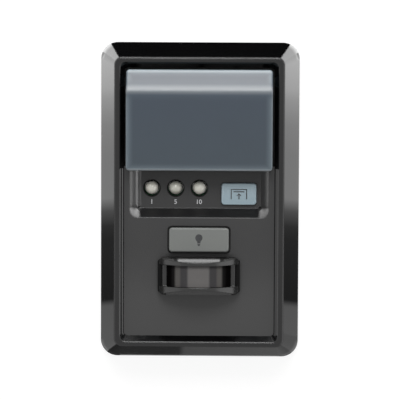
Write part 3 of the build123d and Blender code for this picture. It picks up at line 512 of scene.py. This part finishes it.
def flat_areas(mesh):
    """For each face, the area of the whole flat region that it belongs to."""
    shape = bmesh.new()
    shape.from_mesh(mesh)
    areas = [0.0] * len(shape.faces)
    waiting = set(shape.faces)
    while waiting:
        region = [waiting.pop()]
        for face in region:
            for edge in face.edges:
                for other in edge.link_faces:
                    if other in waiting and other.normal.angle(face.normal, pi) < flat_angle:
                        waiting.remove(other)
                        region.append(other)
        area = sum(face.calc_area() for face in region)
        for face in region:
            areas[face.index] = area
    shape.free()
    return areas


def blended_normals(mesh):
    """A normal for each corner: faces within the sharp angle blend, and the larger flat region wins."""
    areas = flat_areas(mesh)
    round_vertex = [[] for _ in mesh.vertices]
    for face in mesh.polygons:
        for vertex in face.vertices:
            round_vertex[vertex].append(face.index)
    directions = [face.normal.copy() for face in mesh.polygons]
    corners = []
    for face in mesh.polygons:
        for vertex in face.vertices:
            blend = Vector()
            for other in round_vertex[vertex]:
                if directions[other].dot(directions[face.index]) > cos(sharp_angle):
                    blend += directions[other] * (areas[other] / MM ** 2) ** 2
            corners.append(blend.normalized() if blend.length > 0 else directions[face.index])
    return corners


print("An edge is sharp from", round(sharp_angle, 2), "radians")

# %% [markdown]
# ## Copies that stand for their nodes
# The CAD nodes carry the motion and stay untouched. Each visible moulding is copied, its doubles are merged,
# it gets the blended normals and its materials, and it then stands for its node in the dressed object.

# %% Smooth copies
record = frame["record"]
body_of_node = {node: body for body, nodes in record["behaviour"]["bodies"].items() for node in nodes}
slot_of_node = {part["node"]: part["material_slot"] for part in record["subparts"]}


def smooth_copy(node, materials, choose=None):
    """A merged, smoothly shaded copy of a CAD node; choose gives each face its material."""
    mesh = frame["nodes"][node].data.copy()
    mesh.name = node + "_moulded"
    shape = bmesh.new()
    shape.from_mesh(mesh)
    bmesh.ops.remove_doubles(shape, verts=shape.verts, dist=weld_mm * MM)
    shape.to_mesh(mesh)
    shape.free()
    mesh.materials.clear()
    for material in materials:
        mesh.materials.append(material)
    for face in mesh.polygons:
        face.material_index = choose(face) if choose else 0
    mesh.shade_smooth()
    mesh.normals_split_custom_set(blended_normals(mesh))
    piece = put_in_scene(node + "_moulded", mesh)
    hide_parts(node)
    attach(piece, body_of_node[node])
    print(node, "has", len(mesh.polygons), "faces")


print("Nodes with a slot:", len(slot_of_node))

# %% [markdown]
# ## Front housing
# The housing is one moulding, and the borders between its skins run along its edges. They could be picked
# by hand in Edit Mode, but where a face lies and how far it looks forward already tell its skin: spark
# texture on the panel and in the tray, satin on the tray's slopes, raw walls in the gaps, polish elsewhere.

# %% Six skins on the housing
panel_half_x, panel_half_z = 29.25 * MM, 52.35 * MM
step_half_x, step_half_z = 31.0 * MM, 54.7 * MM
tray_floor_half_x, tray_floor_low, tray_low = 23.95 * MM, -2.5 * MM, -6.8 * MM
tray_floor_front = -12.5 * MM
lamp_reach = 3.9 * MM
lamp_nodes = ("timer_led_1", "timer_led_5", "timer_led_10")
lamp_centres = [sum(box_of(node), Vector()) / 2 for node in lamp_nodes]
POLISHED, SPARK, SATIN, RAW, STEP, FLOOR = range(6)
# How much a face looks forward: 1 is straight at the viewer, and below 0 it looks back at the wall
flat_front, step_front, slope_front, backward = 0.97, 0.75, 0.3, -0.1


def housing_finish(face):
    """The skin of one face, from its middle and from how much it looks forward."""
    x, z, frontness = abs(face.center.x), face.center.z, -face.normal.y
    on_panel = x < panel_half_x and abs(z) < panel_half_z
    on_slope = z > tray_low and (x > tray_floor_half_x or z < tray_floor_low)
    round_lamp = any((face.center - lamp).xz.length < lamp_reach for lamp in lamp_centres)
    # The tray's floor and the dips round the lamps get the darker skin, which is painted shade
    if frontness < backward or (on_panel and frontness > flat_front):
        return FLOOR if face.center.y > tray_floor_front and frontness > 0 else SPARK
    if round_lamp and frontness > slope_front:
        return FLOOR
    if on_panel:
        return SATIN if on_slope and frontness > slope_front else RAW
    return STEP if x < step_half_x and abs(z) < step_half_z and frontness < step_front else POLISHED


housing_skins = [polished_abs, spark_abs, satin_abs, raw_abs, step_abs, tray_shade_abs]
smooth_copy("front_housing", housing_skins, housing_finish)

# %% [markdown]
# ## The other visible mouldings
# They have one skin each, but the sensor frame's foot is raw, and a lamp is epoxy in front with tinned
# leads behind. A cut at one depth tells the two apart.

# %% Bar, sensor, keys and lamps
bezel_base_front = -17.1 * MM
lead_front = -5.39 * MM
smooth_copy("back_plate", [plate_abs])
smooth_copy("push_bar", [bar_frost])
smooth_copy("sensor_bezel", [bezel_abs, raw_abs], lambda face: 1 if face.center.y > bezel_base_front else 0)
smooth_copy("sensor_lens", [smoked_sheet])
smooth_copy("light_key", [light_key_abs])
smooth_copy("hold_open_key", [hold_frost])
for name in ("lock_key", "timer_key", "learn_key"):
    smooth_copy(name, [service_key_abs])
for name in lamp_nodes:
    smooth_copy(name, [lamp_epoxy, zinc], lambda face: 1 if face.center.y > lead_front else 0)

# %% [markdown]
# ## Inner parts
# The board, its chips, switches, sensor can and terminals are seen only when the housing is opened, so
# their CAD meshes stay as they are and just get their materials, one for each material slot of the record.

# %% Materials for the inner parts
finishes = {
    "can_nickel": nickel, "filter_dark": filter_silicon, "board_green": board_mask, "chip_black": chip_epoxy,
    "switch_black": switch_nylon, "plunger_brown": plunger_acetal, "capacitor_aluminium": drawn_aluminium,
    "terminal_brass": brass, "screw_zinc": zinc, "key_lamp_white": silicone_white,
}
dressed_nodes = [node for node, slot_name in slot_of_node.items() if slot_name in finishes]
for node in dressed_nodes:
    for material_slot in frame["nodes"][node].material_slots:
        material_slot.material = finishes[slot_of_node[node]]
print("Inner parts dressed:", len(dressed_nodes), "of", len(slot_of_node), "nodes")

# %% [markdown]
# ## Printed numbers and signs
# The face is screen printed: the timer's minutes under each lamp, and plain signs on the keys. An image
# would blur close up, so the ink is real: a film a few hundredths of a millimetre thick. A number is a text
# object made a mesh and pressed flat. A sign is drawn with curves of a round section, flattened likewise.

# %% A film of ink
ink_mm, ink_lift_mm = 0.03, 0.005


def lay_ink(piece_mesh, name, ink, place, depth, body):
    """Flatten a mesh drawn in X and Z to a film of ink at this depth, centred on this place."""
    low = Vector([min(v.co[i] for v in piece_mesh.vertices) for i in range(3)])
    high = Vector([max(v.co[i] for v in piece_mesh.vertices) for i in range(3)])
    middle = (low + high) / 2
    thick = max(high.y - low.y, 1e-9)
    top_of_ink = -depth - (ink_lift_mm + ink_mm) * MM
    for vertex in piece_mesh.vertices:
        film = (vertex.co.y - low.y) / thick * ink_mm * MM
        x = vertex.co.x - middle.x + place[0]
        z = vertex.co.z - middle.z + place[1]
        vertex.co = Vector((x, top_of_ink + film, z))
    piece_mesh.materials.clear()
    piece_mesh.materials.append(ink)
    piece = put_in_scene(name, piece_mesh)
    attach(piece, body)
    print(name, "is", round((high.x - low.x) / MM, 2), "mm wide")


print("Ink is", ink_mm, "mm thick")

# %% [markdown]
# Text and curves are drawn by rules, and their places can't be moved point by point. So each is first made
# a plain mesh, which can be stood up, sized and pressed flat.

# %% Numbers and signs
# Shares of the letter height: how thick a letter is before it is pressed flat, and how much bolder it gets
letter_thick, letter_bold = 0.01, 0.012


def made_mesh(source):
    """The evaluated object as a plain mesh, with the source deleted."""
    bpy.context.view_layer.update()
    evaluated = source.evaluated_get(bpy.context.evaluated_depsgraph_get())
    mesh = bpy.data.meshes.new_from_object(evaluated)
    bpy.data.objects.remove(source)
    return mesh


def print_number(text, name, height_mm, place, depth, body):
    """A number in ink, this high, centred on its place."""
    curve = bpy.data.curves.new(name, "FONT")
    curve.body = text
    curve.extrude = letter_thick
    curve.offset = letter_bold
    source = put_in_scene(name, curve)
    mesh = made_mesh(source)
    tall = max(v.co.y for v in mesh.vertices) - min(v.co.y for v in mesh.vertices)
    stand_up = Matrix.Rotation(radians(90), 4, "X") @ Matrix.Scale(height_mm * MM / tall, 4)
    mesh.transform(stand_up)
    lay_ink(mesh, name, pale_ink, place, depth, body)


def print_sign(name, ink, strokes, pen_mm, place, depth, body):
    """A sign drawn with round-ended strokes; the points are millimetres right and up."""
    curve = bpy.data.curves.new(name, "CURVE")
    curve.dimensions = "3D"
    curve.bevel_depth = pen_mm / 2 * MM
    curve.bevel_resolution = 1
    curve.use_fill_caps = True
    for stroke in strokes:
        line = curve.splines.new("POLY")
        line.points.add(len(stroke) - 1)
        for point, (x, z) in zip(line.points, stroke):
            point.co = (x * MM, 0, z * MM, 1)
    source = put_in_scene(name, curve)
    lay_ink(made_mesh(source), name, ink, place, depth, body)


print("Letters get", letter_bold, "of their height bolder")

# %% Numbers under the lamps
floor_depth = 11.0 * MM
number_height_mm, number_z = 1.75, -0.15 * MM
for number, lamp in zip(("1", "5", "10"), lamp_centres):
    print_number(number, "printed_number_" + number, number_height_mm, (lamp.x, number_z),
                 floor_depth, "housing")

# %% [markdown]
# A key's sign says what it does: a bulb for the light, an open door for holding it open, and a padlock, a
# clock and a ring for the service keys. The bulb's solid glass is four rings of thick strokes side by side.

# %% Signs on the keys
def arc(radius, start, end, centre=(0, 0), steps=14):
    """Points on an arc, in degrees from +X."""
    turns = [radians(start + (end - start) * i / steps) for i in range(steps + 1)]
    return [(centre[0] + radius * cos(a), centre[1] + radius * sin(a)) for a in turns]


def sign_on_key(node, name, ink, strokes, pen_mm):
    """A sign in the middle of a key's face."""
    low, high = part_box(node)
    place = ((low[0] + high[0]) / 2, (low[2] + high[2]) / 2)
    print_sign(name, ink, strokes, pen_mm, place, -low[1], node)


bulb = [arc(radius, 0, 360) for radius in (0.2, 0.55, 0.9, 1.25)]
bulb += [[(half, z), (-half, z)] for half, z in ((1.0, -0.95), (0.8, -1.25), (0.66, -1.55), (0.6, -1.9))]
bulb += [[(-0.5, -2.5), (0.5, -2.5)], [(-0.4, -2.95), (0.4, -2.95)]]
door = [[(-3.0, -1.9), (-3.0, 1.9), (3.0, 1.9), (3.0, -1.9)], [(-2.1, 1.0), (2.1, 1.0)]]
door += [[(0, -1.9), (0, 0.2)], [(-0.8, -0.6), (0, 0.2), (0.8, -0.6)]]
padlock = [[(-1.1, -1.2), (1.1, -1.2), (1.1, 0.2), (-1.1, 0.2), (-1.1, -1.2)],
           [(-0.7, 0.2), *arc(0.7, 180, 0, (0, 0.7)), (0.7, 0.2)]]
clock = [arc(1.35, 90, 450, steps=24), [(0, 0.9), (0, 0), (0.65, -0.4)]]
ring = [arc(0.8, 0, 360, steps=20)]
fine_pen_mm = 0.2
sign_on_key("light_key", "printed_bulb", dark_ink, bulb, 0.42)
sign_on_key("hold_open_key", "printed_open_door", dark_ink, door, 0.44)
sign_on_key("lock_key", "printed_padlock", pale_ink, padlock, fine_pen_mm)
sign_on_key("timer_key", "printed_clock", pale_ink, clock, fine_pen_mm)
sign_on_key("learn_key", "printed_ring", pale_ink, ring, fine_pen_mm)

# %% [markdown]
# ## Solder joints, made with Geometry Nodes
# Each lead that goes through the board ends in a small cone of solder on the wall side. They are all
# alike, so one cone is turned once and a node tree sets it on every lead. Realize Instances makes them real
# triangles and Set Material gives them their tin.

# %% Node tree that sets one shape on many points
def scatter_tree(name, template, material):
    """A tree with named inputs for size, unevenness and seed, and the tree's sockets by name."""
    tree = bpy.data.node_groups.new(name + "_tree", "GeometryNodeTree")
    sockets = {}
    kinds = {"Geometry": "Geometry", "Size": "Float", "Unevenness": "Float", "Seed": "Int"}
    for label, kind in kinds.items():
        sockets[label] = tree.interface.new_socket(label, in_out="INPUT", socket_type="NodeSocket" + kind)
    tree.interface.new_socket("Geometry", in_out="OUTPUT", socket_type="NodeSocketGeometry")
    inlet = add_node(tree, "NodeGroupInput").outputs
    part = add_node(tree, "GeometryNodeObjectInfo", {"Object": template}).outputs["Geometry"]
    least = add_node(tree, "ShaderNodeMath", [inlet["Size"], inlet["Unevenness"]], operation="SUBTRACT")
    most = add_node(tree, "ShaderNodeMath", [inlet["Size"], inlet["Unevenness"]], operation="ADD")
    scales = add_node(tree, "FunctionNodeRandomValue", {"Min": least, "Max": most, "Seed": inlet["Seed"]},
                      data_type="FLOAT")
    dots = add_node(tree, "GeometryNodeMeshToPoints", {"Mesh": inlet["Geometry"]})
    placed = {"Points": dots, "Instance": part, "Scale": scales}
    copies = add_node(tree, "GeometryNodeInstanceOnPoints", placed)
    real = add_node(tree, "GeometryNodeRealizeInstances", {"Geometry": copies})
    dressed = add_node(tree, "GeometryNodeSetMaterial", {"Geometry": real, "Material": material})
    add_node(tree, "NodeGroupOutput", {"Geometry": dressed})
    return tree, sockets


def scatter_on_points(name, points, shape, material, body, unevenness, seed):
    """Set one small mesh on each point with the node tree, and turn the result into a plain mesh."""
    template = bpy.data.objects.new(name + "_template", shape)
    tree, sockets = scatter_tree(name, template, material)
    cloud = bpy.data.meshes.new(name + "_places")
    cloud.from_pydata(points, [], [])
    source = put_in_scene(name + "_places", cloud)
    modifier = source.modifiers.new("copies", "NODES")
    modifier.node_group = tree
    modifier[sockets["Size"].identifier] = 1.0
    modifier[sockets["Unevenness"].identifier] = unevenness
    modifier[sockets["Seed"].identifier] = seed
    mesh = made_mesh(source)
    bpy.data.objects.remove(template)
    piece = put_in_scene(name, mesh)
    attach(piece, body)
    print(name, "has", len(mesh.polygons), "faces")


print("Node groups before the first scatter:", len(bpy.data.node_groups))

# %% [markdown]
# Solder wets the pad and climbs the lead, so a joint is wide and low at its foot and narrow at its tip. That
# shape is the same all round, so a profile is turned about the lead.

# %% Solder joints behind the lamps
def turned(name, profile, sides):
    """A closed shape turned about Y; the profile gives radius and y in mm, from axis to axis."""
    shape = bmesh.new()
    rings = []
    for radius, y in profile:
        if radius == 0:
            rings.append([shape.verts.new((0, y * MM, 0))])
            continue
        angles = [2 * pi * i / sides for i in range(sides)]
        rings.append([shape.verts.new((radius * MM * cos(a), y * MM, radius * MM * sin(a))) for a in angles])
    for one, two in zip(rings, rings[1:]):
        for i in range(sides):
            j = i + 1
            corners = [one[i % len(one)], one[j % len(one)], two[j % len(two)], two[i % len(two)]]
            shape.faces.new(list(dict.fromkeys(corners)))
    bmesh.ops.recalc_face_normals(shape, faces=shape.faces)
    mesh = bpy.data.meshes.new(name)
    shape.to_mesh(mesh)
    shape.free()
    mesh.shade_smooth()
    return mesh


board_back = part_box("circuit_board")[1][1]
joint_profile = [(0, -0.02), (0.85, -0.02), (0.80, 0.12), (0.52, 0.34), (0.36, 0.75), (0.30, 0.95), (0, 1.0)]
joint_shape = turned("solder_joint_shape", joint_profile, 14)
half_lead_pitch, joint_lift = 1.27 * MM, 0.03 * MM
lead_places = [(lamp.x + side * half_lead_pitch, board_back + joint_lift, lamp.z)
               for lamp in lamp_centres for side in (-1, 1)]
scatter_on_points("solder_joints", lead_places, joint_shape, zinc, "housing", 0.06, seed=7)

# %% [markdown]
# ## White wall
# The object hangs on a white wall, which has to look white and still keep the object's soft shadow. A wall
# lit until it clips to white would light the object too. So a grey wall takes the shadow, and a glow that
# only the camera and mirrors see makes it white. It shows from the front only, so that the object can be
# looked at from behind.

# %% White wall behind the object
wall_gap, wall_size = 0.3 * MM, 4.0
wall_grey, wall_glow, wall_roughness = 0.2, 0.86, 0.9


def flat_panel(name, corners, material):
    """A flat stage piece through these corners, which looks to -Y."""
    mesh = bpy.data.meshes.new(name)
    mesh.from_pydata(corners, [], [tuple(range(len(corners)))])
    if mesh.polygons[0].normal.y > 0:
        mesh.flip_normals()
    mesh.materials.append(material)
    panel = put_in_scene(name, mesh)
    panel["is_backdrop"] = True
    return panel


def rectangle(width, height):
    """The corners of a rectangle in X and Z."""
    w, h = width / 2, height / 2
    return [(-w, 0, -h), (w, 0, -h), (w, 0, h), (-w, 0, h)]


def one_sided(tree, surface):
    """Show a surface from the front only, so that nothing hides the object from behind."""
    from_behind = add_node(tree, "ShaderNodeNewGeometry").outputs["Backfacing"]
    clear = add_node(tree, "ShaderNodeBsdfTransparent")
    mixed = add_node(tree, "ShaderNodeMixShader", [from_behind, surface, clear])
    feed(tree, mixed, tree.nodes["Material Output"].inputs["Surface"])


# Matt emulsion paint: no highlight of its own
wall_paint, wall_tree, wall_shader, _ = new_material("white_wall_paint")
rays = add_node(wall_tree, "ShaderNodeLightPath").outputs
mirror_rays = [rays["Is Glossy Ray"], rays["Is Transmission Ray"]]
mirrored = add_node(wall_tree, "ShaderNodeMath", mirror_rays, operation="MAXIMUM")
seen = add_node(wall_tree, "ShaderNodeMath", [rays["Is Camera Ray"], mirrored], operation="MAXIMUM")
glow = add_node(wall_tree, "ShaderNodeMath", [seen, wall_glow], operation="MULTIPLY")
wall_shader.inputs["Base Color"].default_value = (wall_grey, wall_grey, wall_grey, 1)
wall_shader.inputs["Roughness"].default_value = wall_roughness
wall_shader.inputs["Emission Color"].default_value = (1, 1, 1, 1)
feed(wall_tree, glow, wall_shader.inputs["Emission Strength"])
one_sided(wall_tree, wall_shader)
wall = flat_panel("white_wall", rectangle(wall_size, wall_size), wall_paint)
wall.matrix_world = Matrix.Translation((0, wall_gap, 0))
print("The wall hangs", round(wall_gap / MM, 2), "mm behind the object")

# %% [markdown]
# The rest of the room is an even pale light from all round, as in a studio with white walls. A room modelled
# with walls would light the object the same way, but slower. What cameras and mirrors see of it has its own
# level, so the background can be white while the object gets less light.

# %% Even light of the room
room_light, room_seen, room_mirrored = 0.45, 0.55, 0.42
world = bpy.data.worlds.new("studio_room")
bpy.context.scene.world = world
world.use_nodes = True
room = world.node_tree
room_rays = add_node(room, "ShaderNodeLightPath").outputs
view_rays = [room_rays["Is Camera Ray"], room_rays["Is Transmission Ray"]]
shown = add_node(room, "ShaderNodeMath", view_rays, operation="MAXIMUM")
seen_level = add_node(room, "ShaderNodeMath", [shown, room_seen, room_light], operation="MULTIPLY_ADD")
mirror_values = [room_rays["Is Glossy Ray"], room_mirrored, seen_level]
room_level = add_node(room, "ShaderNodeMath", mirror_values, operation="MULTIPLY_ADD")
room.nodes["Background"].inputs["Color"].default_value = (1, 1, 1, 1)
feed(room, room_level, room.nodes["Background"].inputs["Strength"])
print("The camera sees the room at", room_light + room_seen)

# %% [markdown]
# ## Softboxes
# A softbox is a lamp behind a large white cloth, so its shadows are soft, where a point or a sun would draw
# them sharp. One stands above the camera: it gives the main light and the bright band on the bar's top
# slope. A second hangs almost straight above and lights the tops of the keys. It is left out of
# reflections, because it would draw a hard streak in the polished crest.

# %% Two softboxes
def from_angles(side_degrees, up_degrees):
    """The direction in front of the face, this far to the right and this far up."""
    a, e = radians(side_degrees), radians(up_degrees)
    return Vector((sin(a) * cos(e), -cos(a) * cos(e), sin(e)))


def softbox(name, side_degrees, up_degrees, distance, width, height, radiance):
    """A rectangular lamp that looks at the object; radiance 1 is as bright as white paper."""
    lamp_data = bpy.data.lights.new(name, "AREA")
    lamp_data.shape = "RECTANGLE"
    lamp_data.size, lamp_data.size_y = width, height
    lamp_data.energy = radiance * width * height * pi
    box = put_in_scene(name, lamp_data)
    direction = from_angles(side_degrees, up_degrees)
    turn = direction.to_track_quat("Z", "Y").to_matrix().to_4x4()
    box.matrix_world = Matrix.Translation(direction.normalized() * distance) @ turn
    print(name, "gives", round(lamp_data.energy, 2), "W")
    return box


softbox("key_softbox", 0, 44, distance=0.9, width=0.62, height=0.34, radiance=8.0)
overhead = softbox("overhead_softbox", 0, 84, distance=0.8, width=0.5, height=0.3, radiance=2.5)
overhead.visible_glossy = False

# %% [markdown]
# ## Reflection cards
# A black polished object shows its surroundings more than its own colour, so what it mirrors is laid out on
# purpose, as a product photographer does with white and black cards. Here the cards glow, and only
# reflections see them. Lamps could draw the same highlights, but would wash out the matt panel.

# %% Card helpers
def card_paper(name, stops, length=1.0, along=2):
    """A glow that follows stops of (share along the length, level), linear between them."""
    material, tree, shader, place = new_material(name + "_paper")
    across = add_node(tree, "ShaderNodeSeparateXYZ", [place]).outputs[along]
    share = add_node(tree, "ShaderNodeMath", [across, 1 / length, 0.5], operation="MULTIPLY_ADD")
    levels = add_node(tree, "ShaderNodeValToRGB", [share])
    peak = max(level for _, level in stops)
    elements = levels.color_ramp.elements
    elements.remove(elements[1])
    for index, (position, level) in enumerate(stops):
        element = elements[0] if index == 0 else elements.new(position)
        element.position = position
        element.color = (level / peak, level / peak, level / peak, 1)
    glow = add_node(tree, "ShaderNodeEmission", {"Color": levels, "Strength": peak})
    one_sided(tree, glow)
    tree.nodes.remove(shader)
    return material


def hide_from_all_but_reflections(card):
    """Cards give no light to rough surfaces and aren't seen."""
    for ray in ("camera", "diffuse", "transmission", "volume_scatter", "shadow"):
        setattr(card, "visible_" + ray, False)


def reflection_card(name, stops, width, height, matrix, along=2):
    """A rectangular card with levels along its height, or along its width."""
    paper = card_paper(name, stops, height if along == 2 else width, along)
    card = flat_panel(name, rectangle(width, height), paper)
    card.matrix_world = matrix
    hide_from_all_but_reflections(card)
    print(name, "shines with up to", max(level for _, level in stops))


def even(level):
    """Stops of a card with one level all over."""
    return [(0, level), (1, level)]


def on_side(name, side):
    """The name of a card that has a twin on the other side."""
    return name + ("_left" if side < 0 else "_right")


def standing(x, y, z, degrees):
    """A place for a card that is turned about the upright axis; 90 degrees face it to +X."""
    return Matrix.Translation((x, y, z)) @ Matrix.Rotation(radians(degrees), 4, "Z")


print("Materials before the first card:", len(bpy.data.materials))

# %% [markdown]
# The frame's bevel looks aside at the wall, and mirrors it. On each side a tall card lies there, bright
# at the top and nearly black from the middle down: that draws the long gradient on the bevel. Above the
# frame lies an almost black card, and below it a dim one that gets lighter to the right.

# %% Cards on the wall round the frame
# Levels at heights in millimetres from the middle of the face
side_levels = [(-75, 0.50), (-43, 0.44), (-40.5, 0.06), (-16, 0.09), (-11, 0.13), (-5, 0.36), (0, 0.93),
               (17, 0.94), (29, 1.08), (33, 1.22), (39.5, 1.5), (43.5, 1.83), (55, 2.19), (75, 2.4)]
card_gap = 0.2 * MM
card_tall_mm, card_wide_mm, card_middle_mm = 150, 46, 64
for side, gain in ((-1, 1.0), (1, 1.17)):
    stops = [(height / card_tall_mm + 0.5, level * gain) for height, level in side_levels]
    place = Matrix.Translation((side * card_middle_mm * MM, card_gap, 0))
    reflection_card(on_side("side_card", side), stops, card_wide_mm * MM, card_tall_mm * MM, place)
end_card_high, top_card_wide, bottom_card_wide = 60 * MM, 82 * MM, 176 * MM
top_card_middle, bottom_card_middle = 92 * MM, -94 * MM
black_level = 0.008
top_place = Matrix.Translation((0, card_gap, top_card_middle))
reflection_card("top_card", even(black_level), top_card_wide, end_card_high, top_place)
bottom_levels = [(0, 0.07), (0.453, 0.07), (0.466, 0.205), (0.67, 0.26), (1, 0.3)]
bottom_place = Matrix.Translation((0, 0.5 * card_gap, bottom_card_middle))
reflection_card("bottom_card", bottom_levels, bottom_card_wide, end_card_high, bottom_place, along=0)

# %% [markdown]
# The frame's corners are rounded, so their reflections fan out round the corner's centre. Wedges that start
# there carry them: pale ones make the bright mitres at the top, and dark ones close the gap to the cards
# above and below.

# %% Wedges round the corners
def corner_card(name, corner, side, end, start_degrees, stop_degrees, level):
    """A wedge round a corner's centre, between two angles from the side towards the end."""
    inner, outer, lift, steps = 7 * MM, 32 * MM, 0.05 * MM, 6
    turns = [radians(start_degrees + (stop_degrees - start_degrees) * i / steps) for i in range(steps + 1)]
    rim, root = (
        [(side * (corner[0] + reach * cos(a)), lift, end * (corner[1] + reach * sin(a))) for a in turns]
        for reach in (outer, inner)
    )
    hide_from_all_but_reflections(flat_panel(name, rim + root[::-1], card_paper(name, even(level))))


corner_radius = 6.6 * MM
corner_centre = (cad_high[0] - corner_radius, cad_high[2] - corner_radius)
# Name, upper or lower end, the two angles, and the levels on the left and on the right
wedges = [
    ("top", 1, 24, 64, (2.9, 2.9)), ("top_dark", 1, 64, 95, (black_level, black_level)),
    ("bottom", -1, -5, 52, (0.46, 0.46)), ("bottom_dark", -1, 52, 95, (0.07, 0.30)),
]
for name, end, start, stop, levels in wedges:
    for side, level in zip((-1, 1), levels):
        corner_card(on_side("corner_" + name, side), corner_centre, side, end, start, stop, level)
print("Wedges:", 2 * len(wedges))

# %% [markdown]
# The sensor's upper brow mirrors what stands above it, so a narrow card with a bright middle stands over it
# and draws its pale band. Under the sensor a dim card gives the lower brow a little form, and a black card
# between key and brow keeps the gap there dark.

# %% Cards for the sensor
brow_low, brow_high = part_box("sensor_bezel")
key_low, key_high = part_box("light_key")
panel_front = -15 * MM
brow_card_wide, brow_card_high = brow_high[0] - brow_low[0], 1.9 * MM
brow_levels = [(0, 0.4), (0.19, 0.4), (0.2, 0.1), (0.24, 0.1), (0.25, 1.7), (0.75, 1.7), (0.76, 0.1),
               (0.8, 0.1), (0.81, 0.4), (1, 0.4)]
brow_place = Matrix.Translation((0, key_low[1] + 0.1 * MM, brow_high[2] + brow_card_high))
reflection_card("brow_card", brow_levels, brow_card_wide, brow_card_high, brow_place, along=0)
sill_card_high, sill_card_share, sill_level = 16 * MM, 0.8, 0.15
sill_place = Matrix.Translation((0, panel_front - 0.1 * MM, brow_low[2] - sill_card_high / 2))
reflection_card("sill_card", even(sill_level), sill_card_share * brow_card_wide, sill_card_high, sill_place)
shade_high, shade_level = key_low[2] - brow_high[2], 0.004
shade_place = standing(0, key_low[1] + 0.2 * MM, key_low[2] - shade_high / 2, 180)
reflection_card("key_shade_card", even(shade_level), key_high[0] - key_low[0], shade_high, shade_place)

# %% [markdown]
# The step inside the crest and the tray's slopes lean inwards, so they mirror things close by. Small upright
# cards stand before them with a bright edge on each side and a dark middle: that draws the two thin
# light lines that a rounded rim and a rounded foot give, with the dark slope between them.

# %% Cards for the step and the tray
# Share 0 is the deep edge of a left card and the front edge of a right one
step_levels = {
    -1: [(0, 1.2), (0.15, 1.2), (0.3, 0.15), (0.5, 0.15), (0.7, 2.4), (1, 3.0)],
    1: [(0, 1.6), (0.3, 1.6), (0.5, 0.6), (1, 0.6)],
}
step_card_low, step_card_high, step_card_deep = -52 * MM, 13 * MM, 2 * MM
step_card_x, step_card_y = 29.1 * MM, -16.3 * MM
for side, levels in step_levels.items():
    place = standing(side * step_card_x, step_card_y, (step_card_low + step_card_high) / 2, side * 90)
    tall = step_card_high - step_card_low
    reflection_card(on_side("step_card", side), levels, step_card_deep, tall, place, along=0)
tray_levels = {
    -1: [(0, 7.5), (0.08, 7.5), (0.16, 0.6), (0.7, 0.6), (0.85, 4.5), (1, 9.0)],
    1: [(0, 6.5), (0.15, 3.0), (0.32, 0.5), (0.85, 0.2), (1, 1.0)],
}
tray_card_deep, tray_card_high = 3 * MM, 14 * MM
tray_card_x, tray_card_y, tray_card_z = 22.8 * MM, -12.6 * MM, 5 * MM
for side, levels in tray_levels.items():
    place = standing(side * tray_card_x, tray_card_y, tray_card_z, side * 90)
    reflection_card(on_side("tray_card", side), levels, tray_card_deep, tray_card_high, place, along=0)

# %% [markdown]
# At the tray's two lower corners the slopes meet in a rounded corner, which catches a streak of light. A
# small card turned by 45 degrees faces each corner and fades out to both sides, so the streak has no hard
# edge.

# %% Cards for the tray's corners
corner_card_deep, corner_card_wide = 4 * MM, 2.6 * MM
corner_card_x, corner_card_y, corner_card_z = 24.0 * MM, -13.6 * MM, -3.2 * MM
for side, level in ((-1, 8.0), (1, 5.0)):
    lean = Matrix.Rotation(radians(side * 45), 4, "Y") @ Matrix.Rotation(radians(side * 90), 4, "Z")
    place = Matrix.Translation((side * corner_card_x, corner_card_y, corner_card_z)) @ lean
    streak = [(0, 0), (0.5, level), (1, 0)]
    reflection_card(on_side("tray_corner_card", side), streak, corner_card_deep, corner_card_wide, place)

# %% [markdown]
# Far out to both sides stand two large cards, like the white walls of a studio. They light the upright
# edges of keys and lamps, and give the frame's flanks something to show when the camera goes round.

# %% Side walls of the studio
side_wall_x, side_wall_y, side_wall_wide, side_wall_high = 0.5, -0.25, 0.5, 1.2
for side, level in ((-1, 1.3), (1, 1.9)):
    place = standing(side * side_wall_x, side_wall_y, 0, -side * 90)
    reflection_card(on_side("side_wall", side), even(level), side_wall_wide, side_wall_high, place)
